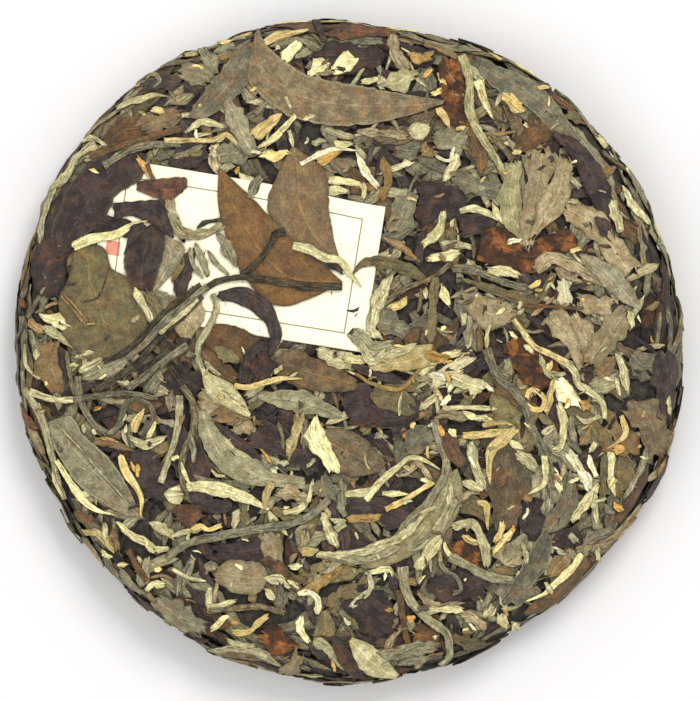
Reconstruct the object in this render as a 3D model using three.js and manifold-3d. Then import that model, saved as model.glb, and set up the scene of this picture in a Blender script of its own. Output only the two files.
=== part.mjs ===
// White tea cake: a disc of pressed whole leaves, buds and stalks, with a small
// paper ticket pressed in under some of its top leaves.
// Units are millimetres, +Z is up. The origin is on the surface that the cake
// lies on, under the middle of its outline. +X is right and +Y is up in a view
// straight down on it.
import * as THREE from 'three';
import { mergeVertices } from 'three/addons/utils/BufferGeometryUtils.js';
import Module from 'manifold-3d';

// ---- Driving dimensions -------------------------------------------------------

// The bare core under the leaves: a shallow dome on a half-round rim.
const CORE_RADIUS = 99.1;
const RIM_ROUND = 10;
const DOME_RISE = 4.2;
const SHOULDER = CORE_RADIUS - RIM_ROUND;
const RIM_GIRTH = Math.PI * RIM_ROUND;
const DIMPLE_RADIUS = 27;
const DIMPLE_DEPTH = 7;

// How far the outline swells out of the circle: lobes round the disc, height of
// each swell, and the direction of its first crest in degrees.
const OUTLINE_SWELLS = [
  { lobes: 2, height: 0.82, crest: -33 },
  { lobes: 3, height: 0.89, crest: 22 },
  { lobes: 5, height: 0.51, crest: -18 },
  { lobes: 6, height: 0.24, crest: -15 },
  { lobes: 8, height: 0.17, crest: 7 },
];

const CORE_SIDES = 48;
const DOME_STEPS = 3;
const RIM_STEPS = 6;
const DIMPLE_STEPS = 3;
const CORNER_GRID = 0.01;

// The paper ticket, turned clockwise in the view from above. Its waves are given
// by their height and by how far they turn in a millimetre, in radians.
const TICKET_LENGTH = 82.6;
const TICKET_WIDTH = 44.8;
const TICKET_THICKNESS = 0.4;
const TICKET_CENTRE = { x: -33.1, y: 27.4 };
const TICKET_TURN = THREE.MathUtils.degToRad(-9);
const TICKET_WAVE = 0.25;
const TICKET_WAVE_ALONG = 0.21;
const TICKET_WAVE_ACROSS = 0.27;
const TICKET_COLUMNS = 14;
const TICKET_ROWS = 7;
const GAP = 0.35;

// Leaves, stalks and buds. The root is how far they reach down into the core. A
// leaf's tips are cut off at a share of its length, and its wave turns by some
// radians from end to end. A bud's tips keep a share of its width.
const LEAF_ROOT = 0.6;
const LEAF_CROWN = 0.35;
const LEAF_WAVE = 0.3;
const LEAF_WAVE_TURN = 4;
const LEAF_TIP = 0.05;
const LEAF_FULLNESS = 0.6;
const LARGE_LEAF_STEPS = 4;
const SMALL_LEAF_STEPS = 3;
const STRAND_STEP = 14;
const STRAND_FLARE = 1.25;
const STRAND_RIDGE = 0.4;
const STALK_TAPER = 0.2;
const BUD_TIP = 0.35;
const BROAD_LEAF = 12;

// How high a piece stands above the core: the last two lie over other pieces.
const LOW = 0.9;
const MIDDLE = 1.5;
const HIGH = 2.2;
const HIGHER = 2.7;
const HIGHEST = 3.25;

// Leaves that are laid by rule: how many, how large, and where. On the top most
// spots of the spiral fall to larger pieces. The rim's rows are shares of the way
// round it.
const TOP_LEAF_COUNT = 14;
const SPIRAL_SPOTS = 3 * TOP_LEAF_COUNT;
const TOP_LEAF_BEND = 2;
const RIM_LEAF_COUNT = 36;
const RIM_ROWS = [0.22, 0.5, 0.74];
const RIM_HEADING_SPREAD = 0.25;
const TOP_LEAF = { shortest: 13, longest: 24, narrowest: 4, widest: 9 };
const RIM_LEAF = { shortest: 16, longest: 34, narrowest: 4, widest: 8 };
const CLEARANCE_FROM_LARGE = 9;
const CLEARANCE_FROM_TICKET = 2;
const GOLDEN_ANGLE = Math.PI * (3 - Math.sqrt(5));
const SEED = 357;

// The largest leaves, by the places of their two ends and their widths. `bend`
// is how far the middle stands off the straight line between the ends, to the
// left as one looks along the leaf; `belly` is where the leaf is widest.
const LARGE_LEAVES = [
  { from: [-29, 85], to: [29, 74], width: 14, bend: -4, lift: MIDDLE },
  { from: [40, 84], to: [72, 60], width: 9, bend: 2, lift: MIDDLE },
  { from: [61, 65], to: [79, 37], width: 9, bend: 3, lift: MIDDLE },
  { from: [45, 47], to: [65, 57], width: 15, bend: 0, lift: MIDDLE },
  { from: [-90, 17], to: [-70, 52], width: 15, bend: 3, lift: LOW },
  { from: [-78, 32], to: [-71, -5], width: 19, bend: 2, lift: HIGH },
  { from: [-47, 69], to: [-29, 88], width: 9, bend: 0, lift: LOW },
  { from: [-36, 71], to: [-29, 58], width: 7, bend: 2, lift: MIDDLE },
  { from: [-74, 60], to: [-51, 70], width: 7, bend: 1, lift: LOW },
  { from: [27, 87], to: [34, 66], width: 9, bend: 0, lift: LOW },
  { from: [38, 31], to: [69, 30], width: 12, bend: 2, lift: MIDDLE },
  { from: [65, 42], to: [86, 22], width: 8, bend: 1, lift: LOW },
  { from: [60, 3], to: [84, -3], width: 20, bend: 0, lift: MIDDLE },
  { from: [69, 28], to: [94, 12], width: 6, bend: -2, lift: MIDDLE },
  { from: [51, 4], to: [60, -13], width: 13, bend: 0, lift: LOW },
  { from: [45, -11], to: [52, -34], width: 8, bend: 1, lift: LOW },
  { from: [53, -32], to: [49, -59], width: 12, bend: 0, lift: LOW },
  { from: [67, -36], to: [44, -76], width: 10, bend: 5, lift: MIDDLE },
  { from: [-93, -14], to: [-62, -50], width: 18, bend: -1, lift: MIDDLE },
  { from: [-90, 3], to: [-89, -14], width: 9, bend: 0, lift: LOW },
  { from: [-20, 2], to: [8, -12], width: 11, bend: 0, lift: MIDDLE },
  { from: [-27, -14], to: [-2, -19], width: 6, bend: 2, lift: HIGH },
  { from: [-12, -27], to: [11, -29], width: 13, bend: 0, lift: MIDDLE },
  { from: [-41, 7], to: [-32, -10], width: 8, bend: 1, lift: LOW },
  { from: [-44, -3], to: [-28, -25], width: 9, bend: 1, lift: MIDDLE },
  { from: [16, -31], to: [25, -20], width: 9, bend: 0, lift: MIDDLE },
  { from: [-14, -62], to: [31, -37], width: 10, bend: -7, lift: HIGH, belly: 1.8 },
  { from: [-44, -68], to: [-18, -67], width: 10, bend: 1, lift: MIDDLE },
  { from: [-64, -74], to: [-42, -81], width: 8, bend: 0, lift: LOW },
  { from: [0, -87], to: [15, -98], width: 5, bend: 1, lift: MIDDLE },
  { from: [9, -92], to: [28, -90], width: 5, bend: 0, lift: LOW },
  { from: [71, -62], to: [57, -78], width: 8, bend: -1, lift: LOW },
  { from: [86, -14], to: [88, -29], width: 9, bend: 0, lift: LOW },
  { from: [81, -28], to: [82, -43], width: 8, bend: 0, lift: LOW },
  { from: [4, -11], to: [20, -19], width: 9, bend: 0, lift: LOW },
];

// Leaves that lie over the ticket.
const LEAVES_OVER_TICKET = [
  { from: [-37, 53], to: [-12, 15], width: 21, bend: -2, lift: HIGH, belly: 1.6 },
  { from: [-15, 61], to: [-10, 28], width: 16, bend: 0, lift: HIGHER, belly: 1.3 },
  { from: [-38, 16], to: [-26, -3], width: 6, bend: 8, lift: HIGH },
  { from: [-62, 36], to: [-62, 18], width: 8, bend: 0, lift: HIGH },
  { from: [-54, 35], to: [-59, 14], width: 8, bend: 0, lift: HIGHER },
  { from: [-63, 49], to: [-47, 48], width: 6, bend: 0, lift: HIGH },
  { from: [-72, 42], to: [-57, 37], width: 7, bend: 0, lift: HIGH },
  { from: [-53, 37], to: [-38, 36], width: 4, bend: -3, lift: HIGHER },
  { from: [-41, 18], to: [-51, 4], width: 7, bend: 0, lift: HIGH },
];

// Stalks and buds, by the places that their middle lines pass through and by
// the widths in the middle. A bud is widest there, a stalk is even.
const STALKS = [
  { through: [[-2, 18], [-14, 19], [-30, 21], [-42, 18], [-52, 11], [-65, 1]], width: 2.6, lift: HIGHEST },
  { through: [[-53, 9], [-54, -5], [-46, -18], [-49, -32], [-48, -45]], width: 2.3, lift: MIDDLE },
  { through: [[-95, -12], [-86, -16], [-70, -13], [-57, -15]], width: 2.2, lift: HIGH },
  { through: [[37, 84], [38, 72], [45, 56], [50, 41], [53, 38]], width: 2.2, lift: MIDDLE },
  { through: [[37, 1], [46, -10], [54, -22], [60, -35]], width: 3, lift: HIGH },
  { through: [[49, 9], [58, -1], [67, -7], [75, -14], [77, -20]], width: 2.4, lift: HIGH },
  { through: [[-88, -32], [-79, -45], [-70, -50]], width: 2.4, lift: HIGH },
  { through: [[-57, -59], [-32, -56], [-15, -52], [-6, -42]], width: 3.2, lift: MIDDLE },
  { through: [[16, -65], [19, -75], [29, -84], [28, -94]], width: 2.9, lift: HIGH },
  { through: [[-82, 31], [-71, 33], [-60, 39]], width: 3, lift: HIGHER },
  { through: [[-75, 53], [-64, 60], [-45, 61], [-32, 60]], width: 2.2, lift: MIDDLE },
];
const BUDS = [
  { through: [[-34, -11], [-24, -10], [-14, -9]], width: 2.4, lift: HIGH },
  { through: [[-17, -20], [-17, -31]], width: 3.6, lift: MIDDLE },
  { through: [[-10, -21], [-8, -28], [-5, -36]], width: 4.6, lift: MIDDLE },
  { through: [[-16, 30], [-7, 26], [4, 18]], width: 3.4, lift: HIGHEST },
  { through: [[50, -23], [43, -26], [34, -26]], width: 3.2, lift: MIDDLE },
  { through: [[46, -24], [42, -31], [41, -40]], width: 3.4, lift: MIDDLE },
  { through: [[67, -31], [72, -42]], width: 3.2, lift: MIDDLE },
  { through: [[78, -32], [79, -44]], width: 3.2, lift: MIDDLE },
  { through: [[70, -61], [62, -70], [54, -75]], width: 3, lift: HIGH },
  { through: [[28, -57], [21, -66]], width: 4.4, lift: HIGHER },
  { through: [[-13, -73], [-2, -66]], width: 3.6, lift: MIDDLE },
  { through: [[-69, -52], [-61, -57], [-54, -60]], width: 2.8, lift: MIDDLE },
  { through: [[7, -7], [18, -3], [28, -3]], width: 4, lift: MIDDLE },
];

const FINISHES = {
  cake: { color: 0x77705c, roughness: 0.85, metalness: 0 },
  ticket: { color: 0xf3eed3, roughness: 0.8, metalness: 0 },
};

// ---- Seeded draws -------------------------------------------------------------

function seededDraw(seed) {
  let state = seed;
  return (low, high) => {
    state = (state * 1664525 + 1013904223) % 4294967296;
    return low + (high - low) * (state / 4294967296);
  };
}

// ---- The cake's surface ---------------------------------------------------------

function outlineScale(angle) {
  let radius = CORE_RADIUS;
  for (const swell of OUTLINE_SWELLS) {
    const turn = THREE.MathUtils.degToRad(swell.crest);
    radius += swell.height * Math.cos(swell.lobes * (angle - turn));
  }
  return radius / CORE_RADIUS;
}

function domeHeight(radius) {
  return 2 * RIM_ROUND + DOME_RISE * (1 - (radius / SHOULDER) ** 2);
}

// A place on the cake is a flat point whose distance from the centre is measured
// along the surface, over the dome and on round the rim. `lift` is the height
// above the bare core.
function onCake(x, y, lift) {
  const girth = Math.hypot(x, y);
  const angle = Math.atan2(y, x);
  const pastShoulder = (girth - SHOULDER) / RIM_ROUND;
  const rimAngle = THREE.MathUtils.clamp(pastShoulder, 0, Math.PI);
  let radius = Math.min(girth, SHOULDER);
  let height = domeHeight(radius);
  const slope = 2 * DOME_RISE * radius / SHOULDER ** 2;
  const out = new THREE.Vector2(slope, 1).normalize();
  if (rimAngle > 0) {
    out.set(Math.sin(rimAngle), Math.cos(rimAngle));
    radius += RIM_ROUND * Math.sin(rimAngle);
    height = RIM_ROUND * (1 + Math.cos(rimAngle));
  }
  const reach = (radius + out.x * lift) * outlineScale(angle);
  return new THREE.Vector3(reach * Math.cos(angle), reach * Math.sin(angle), height + out.y * lift);
}

function dimpleHeight(radius) {
  if (radius > DIMPLE_RADIUS) {
    return 0;
  }
  return DIMPLE_DEPTH * Math.cos(0.5 * Math.PI * radius / DIMPLE_RADIUS) ** 2;
}

// A point of the view from above, as a place on the cake.
function fromAbove([x, y]) {
  const angle = Math.atan2(y, x);
  const distance = Math.hypot(x, y) / outlineScale(angle);
  if (distance <= SHOULDER) {
    return new THREE.Vector2(x, y);
  }
  const share = Math.min((distance - SHOULDER) / RIM_ROUND, 1);
  const girth = SHOULDER + RIM_ROUND * Math.asin(share);
  return new THREE.Vector2(girth * Math.cos(angle), girth * Math.sin(angle));
}

// ---- Closed meshes --------------------------------------------------------------

const wasm = await Module();
wasm.setup();

function solidFrom(positions, triangles) {
  const kept = [];
  for (let corner = 0; corner < triangles.length; corner += 3) {
    const [a, b, c] = [triangles[corner], triangles[corner + 1], triangles[corner + 2]];
    if (a !== b && b !== c && c !== a) {
      kept.push(a, b, c);
    }
  }
  const mesh = new wasm.Mesh({
    numProp: 3,
    vertProperties: Float32Array.from(positions),
    triVerts: Uint32Array.from(kept),
  });
  return new wasm.Manifold(mesh);
}

function solidFromGeometry(geometry) {
  geometry.deleteAttribute('normal');
  geometry.deleteAttribute('uv');
  const merged = mergeVertices(geometry);
  return solidFrom(merged.attributes.position.array, merged.index.array);
}

function geometryFrom(solid) {
  const mesh = solid.getMesh();
  const geometry = new THREE.BufferGeometry();
  geometry.setAttribute('position', new THREE.BufferAttribute(mesh.vertProperties, 3));
  geometry.setIndex(new THREE.BufferAttribute(mesh.triVerts, 1));
  geometry.computeVertexNormals();
  return geometry;
}

// The largest closed shell of a solid: loose scraps go, and sealed hollows fill.
// Corners are set on a fine grid first, so that no two of them nearly touch.
function outerShell(solid) {
  let shell = solid;
  let bodies = [];
  do {
    const geometry = geometryFrom(shell);
    const corners = geometry.attributes.position.array;
    corners.forEach((value, index) => {
      corners[index] = Math.round(value / CORNER_GRID) * CORNER_GRID;
    });
    bodies = solidFromGeometry(geometry).decompose();
    bodies.sort((one, other) => other.volume() - one.volume());
    shell = bodies[0];
  } while (bodies.length > 1);
  return shell;
}

// Skins rings of points into one closed mesh. The rings go round the same way,
// clockwise as seen from the first to the last, and each starts at the same
// angle; neighbours may differ in how many points they have.
function skinned(rings) {
  const positions = rings.flat().flatMap((point) => [point.x, point.y, point.z]);
  const triangles = [];
  const closeEnd = (first, count, isStart) => {
    for (let side = 1; side < count - 1; side += 1) {
      const [near, far] = isStart ? [side + 1, side] : [side, side + 1];
      triangles.push(first, first + near, first + far);
    }
  };
  closeEnd(0, rings[0].length, true);
  let first = 0;
  for (let ring = 1; ring < rings.length; ring += 1) {
    const [count, nextCount] = [rings[ring - 1].length, rings[ring].length];
    const next = first + count;
    let here = 0;
    let there = 0;
    while (here < count || there < nextCount) {
      const a = first + here % count;
      const b = next + there % nextCount;
      if ((here + 0.5) / count <= (there + 0.5) / nextCount) {
        here += 1;
        triangles.push(a, first + here % count, b);
      } else {
        there += 1;
        triangles.push(a, next + there % nextCount, b);
      }
    }
    first = next;
  }
  closeEnd(first, rings.at(-1).length, false);
  return solidFrom(positions, triangles);
}

// ---- Core -------------------------------------------------------------------------

function coreRing(radius, height, sides) {
  return Array.from({ length: sides }, (_, side) => {
    const angle = -2 * Math.PI * side / sides;
    const reach = radius * outlineScale(angle);
    return new THREE.Vector3(reach * Math.cos(angle), reach * Math.sin(angle), height);
  });
}

// From the dimple up round the rim to the top of the dome. The rings have fewer
// sides towards the middle.
function makeCore() {
  const rings = [];
  for (let step = 1; step <= DIMPLE_STEPS; step += 1) {
    const radius = DIMPLE_RADIUS * step / DIMPLE_STEPS;
    rings.push(coreRing(radius, dimpleHeight(radius), CORE_SIDES / 2));
  }
  for (let step = 0; step <= RIM_STEPS; step += 1) {
    const angle = Math.PI * step / RIM_STEPS;
    const radius = SHOULDER + RIM_ROUND * Math.sin(angle);
    rings.push(coreRing(radius, RIM_ROUND * (1 - Math.cos(angle)), CORE_SIDES));
  }
  for (let step = 1; step <= DOME_STEPS; step += 1) {
    const radius = SHOULDER / 2 ** step;
    rings.push(coreRing(radius, domeHeight(radius), CORE_SIDES / 2 ** step));
  }
  return skinned(rings.reverse());
}

// ---- Leaves, stalks and buds --------------------------------------------------------

// A thin wavy leaf along a bent middle line. Its upper and lower faces have the
// same grid: three points across a broad leaf, two across the others.
function makeLeaf(leaf, draw) {
  const { from, to, lift, width, belly = 1, isLarge = false } = leaf;
  const along = to.clone().sub(from);
  const side = new THREE.Vector2(-along.y, along.x).normalize();
  const middle = from.clone().lerp(to, 0.5).addScaledVector(side, 2 * leaf.bend);
  const line = new THREE.QuadraticBezierCurve(from, middle, to);
  const steps = isLarge ? LARGE_LEAF_STEPS : SMALL_LEAF_STEPS;
  const offsets = width > BROAD_LEAF ? [1, 0, -1] : [1, -1];
  const phase = draw(0, 2 * Math.PI);
  const tilt = draw(-LEAF_WAVE, LEAF_WAVE);
  const rings = [];
  for (let step = 0; step <= steps; step += 1) {
    const share = step / steps;
    const spot = line.getPoint(share);
    const heading = line.getTangent(share);
    const across = new THREE.Vector2(-heading.y, heading.x);
    const swell = Math.sin(Math.PI * (LEAF_TIP + (1 - 2 * LEAF_TIP) * share ** belly));
    const half = 0.5 * width * swell ** LEAF_FULLNESS;
    const wave = LEAF_WAVE * Math.sin(phase + LEAF_WAVE_TURN * share);
    const place = (offset, height) => onCake(
      spot.x + across.x * half * offset,
      spot.y + across.y * half * offset,
      height,
    );
    const top = (offset) => lift + wave + tilt * offset + LEAF_CROWN * (1 - offset ** 2);
    const upper = offsets.map((offset) => place(offset, top(offset)));
    const lower = offsets.map((offset) => place(offset, -LEAF_ROOT)).reverse();
    rings.push([...upper, ...lower]);
  }
  return skinned(rings);
}

// A stalk or a bud: a strand of three sides along a smooth line, with its ridge up.
function makeStrand({ through, width, lift }, isBud) {
  const line = new THREE.SplineCurve(through.map((point) => fromAbove(point)));
  const steps = Math.max(3, Math.round(line.getLength() / STRAND_STEP));
  const rings = [];
  for (let step = 0; step <= steps; step += 1) {
    const share = step / steps;
    const spot = line.getPoint(share);
    const heading = line.getTangent(share);
    const across = new THREE.Vector2(-heading.y, heading.x);
    const budTaper = BUD_TIP + (1 - BUD_TIP) * Math.sin(Math.PI * share);
    const taper = isBud ? budTaper : 1 - STALK_TAPER * share;
    const half = 0.5 * STRAND_FLARE * width * taper;
    const place = (offset, height) => onCake(
      spot.x + across.x * offset,
      spot.y + across.y * offset,
      height,
    );
    const ridge = lift + STRAND_RIDGE * half;
    rings.push([place(half, -LEAF_ROOT), place(0, ridge), place(-half, -LEAF_ROOT)]);
  }
  return skinned(rings);
}

function leafAt(spot, heading, length, width, rest) {
  const reach = new THREE.Vector2(Math.cos(heading), Math.sin(heading)).multiplyScalar(0.5 * length);
  return { from: spot.clone().sub(reach), to: spot.clone().add(reach), width, ...rest };
}

function isUnderTicket(spot, margin) {
  const local = spot.clone().sub(TICKET_CENTRE);
  local.rotateAround(new THREE.Vector2(0, 0), -TICKET_TURN);
  const isPastEnd = Math.abs(local.x) > 0.5 * TICKET_LENGTH + margin;
  const isPastSide = Math.abs(local.y) > 0.5 * TICKET_WIDTH + margin;
  return !isPastEnd && !isPastSide;
}

// Smaller leaves fill the top between the large ones, evenly spread on a spiral.
function topLeavesByRule(taken, draw) {
  const leaves = [];
  for (let turn = 0; leaves.length < TOP_LEAF_COUNT; turn += 1) {
    const girth = SHOULDER * Math.sqrt((turn + 0.5) / SPIRAL_SPOTS);
    const angle = turn * GOLDEN_ANGLE;
    const spot = new THREE.Vector2(girth * Math.cos(angle), girth * Math.sin(angle));
    const heading = draw(0, Math.PI);
    const length = draw(TOP_LEAF.shortest, TOP_LEAF.longest);
    const width = draw(TOP_LEAF.narrowest, TOP_LEAF.widest);
    const bend = draw(-TOP_LEAF_BEND, TOP_LEAF_BEND);
    if (girth > SHOULDER) {
      break;
    }
    const near = taken.some((other) => other.distanceTo(spot) < CLEARANCE_FROM_LARGE);
    if (!near && !isUnderTicket(spot, CLEARANCE_FROM_TICKET)) {
      leaves.push(leafAt(spot, heading, length, width, { bend, lift: LOW }));
    }
  }
  return leaves;
}

// Leaves pressed flat against the rim, most of them running along it.
function rimLeavesByRule(draw) {
  const leaves = [];
  for (let index = 0; index < RIM_LEAF_COUNT; index += 1) {
    const angle = 2 * Math.PI * index / RIM_LEAF_COUNT;
    const girth = SHOULDER + RIM_GIRTH * RIM_ROWS[index % RIM_ROWS.length];
    const spot = new THREE.Vector2(girth * Math.cos(angle), girth * Math.sin(angle));
    const length = draw(RIM_LEAF.shortest, RIM_LEAF.longest);
    const width = draw(RIM_LEAF.narrowest, RIM_LEAF.widest);
    const heading = angle + Math.PI / 2 + draw(-RIM_HEADING_SPREAD, RIM_HEADING_SPREAD);
    const bend = -(length ** 2) / (8 * girth);
    leaves.push(leafAt(spot, heading, length, width, { bend, lift: LOW }));
  }
  return leaves;
}

// ---- Ticket --------------------------------------------------------------------------

// The sheet of paper follows the dome. `grow` widens it all round, which gives
// the room that the cake leaves for it.
function makeTicket(grow) {
  const spread = new THREE.Vector2(1 + 2 * grow / TICKET_LENGTH, 1 + 2 * grow / TICKET_WIDTH);
  const rings = [];
  for (let column = 0; column <= TICKET_COLUMNS; column += 1) {
    const upper = [];
    const lower = [];
    for (let row = 0; row <= TICKET_ROWS; row += 1) {
      const spot = new THREE.Vector2(
        TICKET_LENGTH * (column / TICKET_COLUMNS - 0.5),
        TICKET_WIDTH * (0.5 - row / TICKET_ROWS),
      );
      const ripple = Math.sin(TICKET_WAVE_ALONG * spot.x) * Math.cos(TICKET_WAVE_ACROSS * spot.y);
      const wave = TICKET_WAVE * (1 + ripple);
      spot.multiply(spread).rotateAround(new THREE.Vector2(0, 0), TICKET_TURN).add(TICKET_CENTRE);
      const base = GAP + wave;
      upper.push(onCake(spot.x, spot.y, base + TICKET_THICKNESS + grow));
      lower.unshift(onCake(spot.x, spot.y, base - grow));
    }
    rings.push([...upper, ...lower]);
  }
  return skinned(rings);
}

// ---- The cake -------------------------------------------------------------------------

function makeCake() {
  const draw = seededDraw(SEED);
  const toPlace = (leaf) => ({ ...leaf, from: fromAbove(leaf.from), to: fromAbove(leaf.to), isLarge: true });
  const large = [...LARGE_LEAVES, ...LEAVES_OVER_TICKET].map(toPlace);
  const taken = large.map((leaf) => leaf.from.clone().lerp(leaf.to, 0.5));
  const leaves = [
    ...large,
    ...topLeavesByRule(taken, draw),
    ...rimLeavesByRule(draw),
  ];
  const pieces = [
    ...leaves.map((leaf) => makeLeaf(leaf, draw)),
    ...STALKS.map((stalk) => makeStrand(stalk, false)),
    ...BUDS.map((bud) => makeStrand(bud, true)),
  ];
  let cake = makeCore();
  for (const piece of pieces) {
    cake = cake.add(piece);
  }
  const belowFloor = new THREE.BoxGeometry(4 * CORE_RADIUS, 4 * CORE_RADIUS, 2 * RIM_ROUND);
  belowFloor.translate(0, 0, -RIM_ROUND);
  cake = cake.subtract(solidFromGeometry(belowFloor)).subtract(makeTicket(GAP));
  return outerShell(cake);
}

// ---- Scene graph ------------------------------------------------------------------------

function namedMesh(name, solid) {
  const material = new THREE.MeshStandardMaterial(FINISHES[name]);
  const mesh = new THREE.Mesh(geometryFrom(solid), material);
  mesh.name = name;
  return mesh;
}

// The outline of the finished cake is centred over the origin.
function centred(group) {
  const middle = new THREE.Box3().setFromObject(group).getCenter(new THREE.Vector3());
  const onGrid = (value) => Math.round(value / CORNER_GRID) * CORNER_GRID;
  group.position.set(-onGrid(middle.x), -onGrid(middle.y), 0);
  return group;
}

const teaCake = new THREE.Group();
teaCake.add(namedMesh('cake', makeCake()));
teaCake.add(namedMesh('ticket', makeTicket(0)));

export default centred(teaCake);
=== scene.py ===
"""A round cake of pressed white tea with a small paper ticket under its top leaves.

Sizes are in millimetres until the last step, which turns them into metres. A
place on the cake is a flat point: its distance from the centre is measured along
the surface, over the dome and on round the rim, or over the underside.
"""
import math

import bpy
import numpy as np
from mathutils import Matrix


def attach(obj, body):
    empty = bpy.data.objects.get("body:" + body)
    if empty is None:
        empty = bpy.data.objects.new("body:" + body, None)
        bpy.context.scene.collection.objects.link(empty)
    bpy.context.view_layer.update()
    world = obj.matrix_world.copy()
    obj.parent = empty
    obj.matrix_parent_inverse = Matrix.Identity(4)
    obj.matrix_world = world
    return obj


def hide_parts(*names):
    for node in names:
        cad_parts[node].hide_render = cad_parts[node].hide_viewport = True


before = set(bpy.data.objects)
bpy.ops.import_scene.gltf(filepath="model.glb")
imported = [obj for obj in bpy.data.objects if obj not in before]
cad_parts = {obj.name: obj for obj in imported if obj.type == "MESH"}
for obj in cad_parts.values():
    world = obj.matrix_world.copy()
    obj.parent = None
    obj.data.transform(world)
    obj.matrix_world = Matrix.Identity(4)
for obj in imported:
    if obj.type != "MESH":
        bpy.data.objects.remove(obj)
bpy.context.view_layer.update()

# ---- The cake's form, as in the frame --------------------------------------------

CORE_RADIUS = 99.1
RIM_ROUND = 10.0
DOME_RISE = 4.2
SHOULDER = CORE_RADIUS - RIM_ROUND
RIM_GIRTH = math.pi * RIM_ROUND
DIMPLE_RADIUS = 27.0
DIMPLE_DEPTH = 7.0
OUTLINE_SWELLS = [
    # lobes, height, direction of the first crest in degrees
    (2, 0.82, -33),
    (3, 0.89, 22),
    (5, 0.51, -18),
    (6, 0.24, -15),
    (8, 0.17, 7),
]
# Moves the middle of the outline's box to the frame's origin.
CENTRING = (-0.28, 1.08)
MM = 0.001

# The loose leaves start a little below the frame's core, and are pressed to a
# limited height.
TOP_BED = -1.3
UNDER_BED = -1.7
TOP_PRESS = 4.6
UNDER_PRESS = 1.55

TICKET_LENGTH = 82.6
TICKET_WIDTH = 44.8
TICKET_THICKNESS = 0.22
TICKET_CENTRE = (-33.1, 27.4)
TICKET_TURN = math.radians(-9)

# ---- Colours ---------------------------------------------------------------------

# The main colour of a piece and that of its mottling (sRGB, 0 to 255), then how
# rusty and how downy it is, from 0 to 1.
TONES = {
    "plum": ((51, 43, 42), (74, 62, 57), 0.12, 0.1),
    "maroon": ((66, 51, 46), (50, 43, 41), 0.2, 0.1),
    "mulberry": ((104, 75, 62), (78, 56, 48), 0.4, 0.2),
    "slate": ((96, 92, 76), (128, 122, 96), 0.2, 0.5),
    "ash": ((108, 102, 82), (136, 128, 100), 0.3, 0.5),
    "grey": ((126, 120, 94), (158, 150, 118), 0.25, 0.6),
    "sage": ((134, 127, 90), (164, 156, 112), 0.15, 0.6),
    "green": ((148, 142, 106), (184, 176, 136), 0.15, 0.6),
    "pale": ((182, 172, 124), (212, 203, 154), 0.1, 0.5),
    "beige": ((146, 131, 96), (176, 161, 122), 0.3, 0.4),
    "cream": ((214, 202, 140), (232, 222, 166), 0.05, 0.2),
    "white": ((224, 214, 164), (242, 234, 194), 0.0, 0.1),
    "straw": ((188, 168, 108), (208, 190, 134), 0.2, 0.2),
    "yellow": ((212, 184, 108), (230, 208, 142), 0.15, 0.1),
    "ochre": ((182, 150, 88), (150, 120, 70), 0.3, 0.1),
    "orange": ((198, 150, 78), (214, 176, 100), 0.3, 0.0),
    "brown": ((112, 88, 58), (88, 69, 48), 0.45, 0.2),
    "tan": ((146, 121, 80), (120, 98, 66), 0.35, 0.3),
    "olive": ((124, 113, 75), (100, 92, 64), 0.25, 0.3),
    "umber": ((86, 74, 57), (116, 101, 77), 0.35, 0.35),
    "rust": ((66, 46, 34), (92, 62, 38), 1.0, 0.0),
    "red": ((82, 60, 46), (104, 78, 56), 0.5, 0.1),
    "bark": ((56, 50, 40), (86, 78, 60), 0.1, 0.12),
    "stem": ((84, 77, 58), (136, 123, 88), 0.2, 0.4),
    "brown_grey": ((110, 96, 72), (138, 123, 92), 0.45, 0.45),
    "ticket_leaf": ((128, 97, 60), (106, 80, 52), 0.25, 0.15),
    "second_leaf": ((116, 97, 72), (134, 113, 78), 0.3, 0.35),
    "olive_brown": ((116, 98, 68), (90, 75, 54), 0.4, 0.3),
}
RUSTY = (156, 98, 46)
DOWNY = (204, 196, 150)
DARK_TONES = ["plum", "plum", "plum", "maroon", "slate", "ash", "grey", "brown", "umber", "olive"]
RIM_TONES = ["plum", "plum", "maroon", "slate", "ash", "grey", "grey", "green", "beige", "olive", "brown"]
SHRED_TONES = ["plum", "plum", "slate", "grey", "grey", "green", "green", "beige", "olive", "pale", "tan"]
CRUMB_TONES = ["cream", "yellow", "straw", "tan", "pale", "plum", "white", "umber", "green", "orange"]
UNDER_TONES = ["plum", "slate", "grey", "green", "beige", "olive", "brown", "tan", "pale", "cream"]

# ---- Kinds of piece --------------------------------------------------------------

# thickness: of the piece in the middle. plump: 0 for a flat leaf, 1 for a round
# stalk. torn: how ragged the sides are, as a share of half the width. ends: how
# ragged the ends are. wave, curl and pleat: ripples, raised sides and lengthwise
# folds, in millimetres. stiff: how far it bridges what lies below. uneven: how
# much the width comes and goes.
KIND_COLUMNS = ("thickness", "plump", "torn", "ends", "wave", "curl", "pleat", "stiff", "uneven")
KIND_ROWS = {
    "leaf": (0.4, 0.0, 0.22, 0.15, 0.6, 0.5, 0.16, 1.4, 0.16),
    "torn": (0.4, 0.0, 0.42, 0.6, 0.75, 0.5, 0.32, 1.1, 0.3),
    "scrap": (0.4, 0.0, 0.46, 0.6, 0.7, 0.4, 0.32, 1.0, 0.35),
    "strip": (0.6, 0.25, 0.3, 0.6, 0.55, 0.2, 0.42, 1.5, 0.26),
    "bud": (0.9, 0.5, 0.16, 0.35, 0.35, 0.0, 0.36, 1.8, 0.18),
    "stalk": (1.6, 1.0, 0.22, 0.1, 0.35, 0.0, 0.26, 2.6, 0.12),
}
KINDS = {kind: dict(zip(KIND_COLUMNS, row)) for kind, row in KIND_ROWS.items()}

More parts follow.
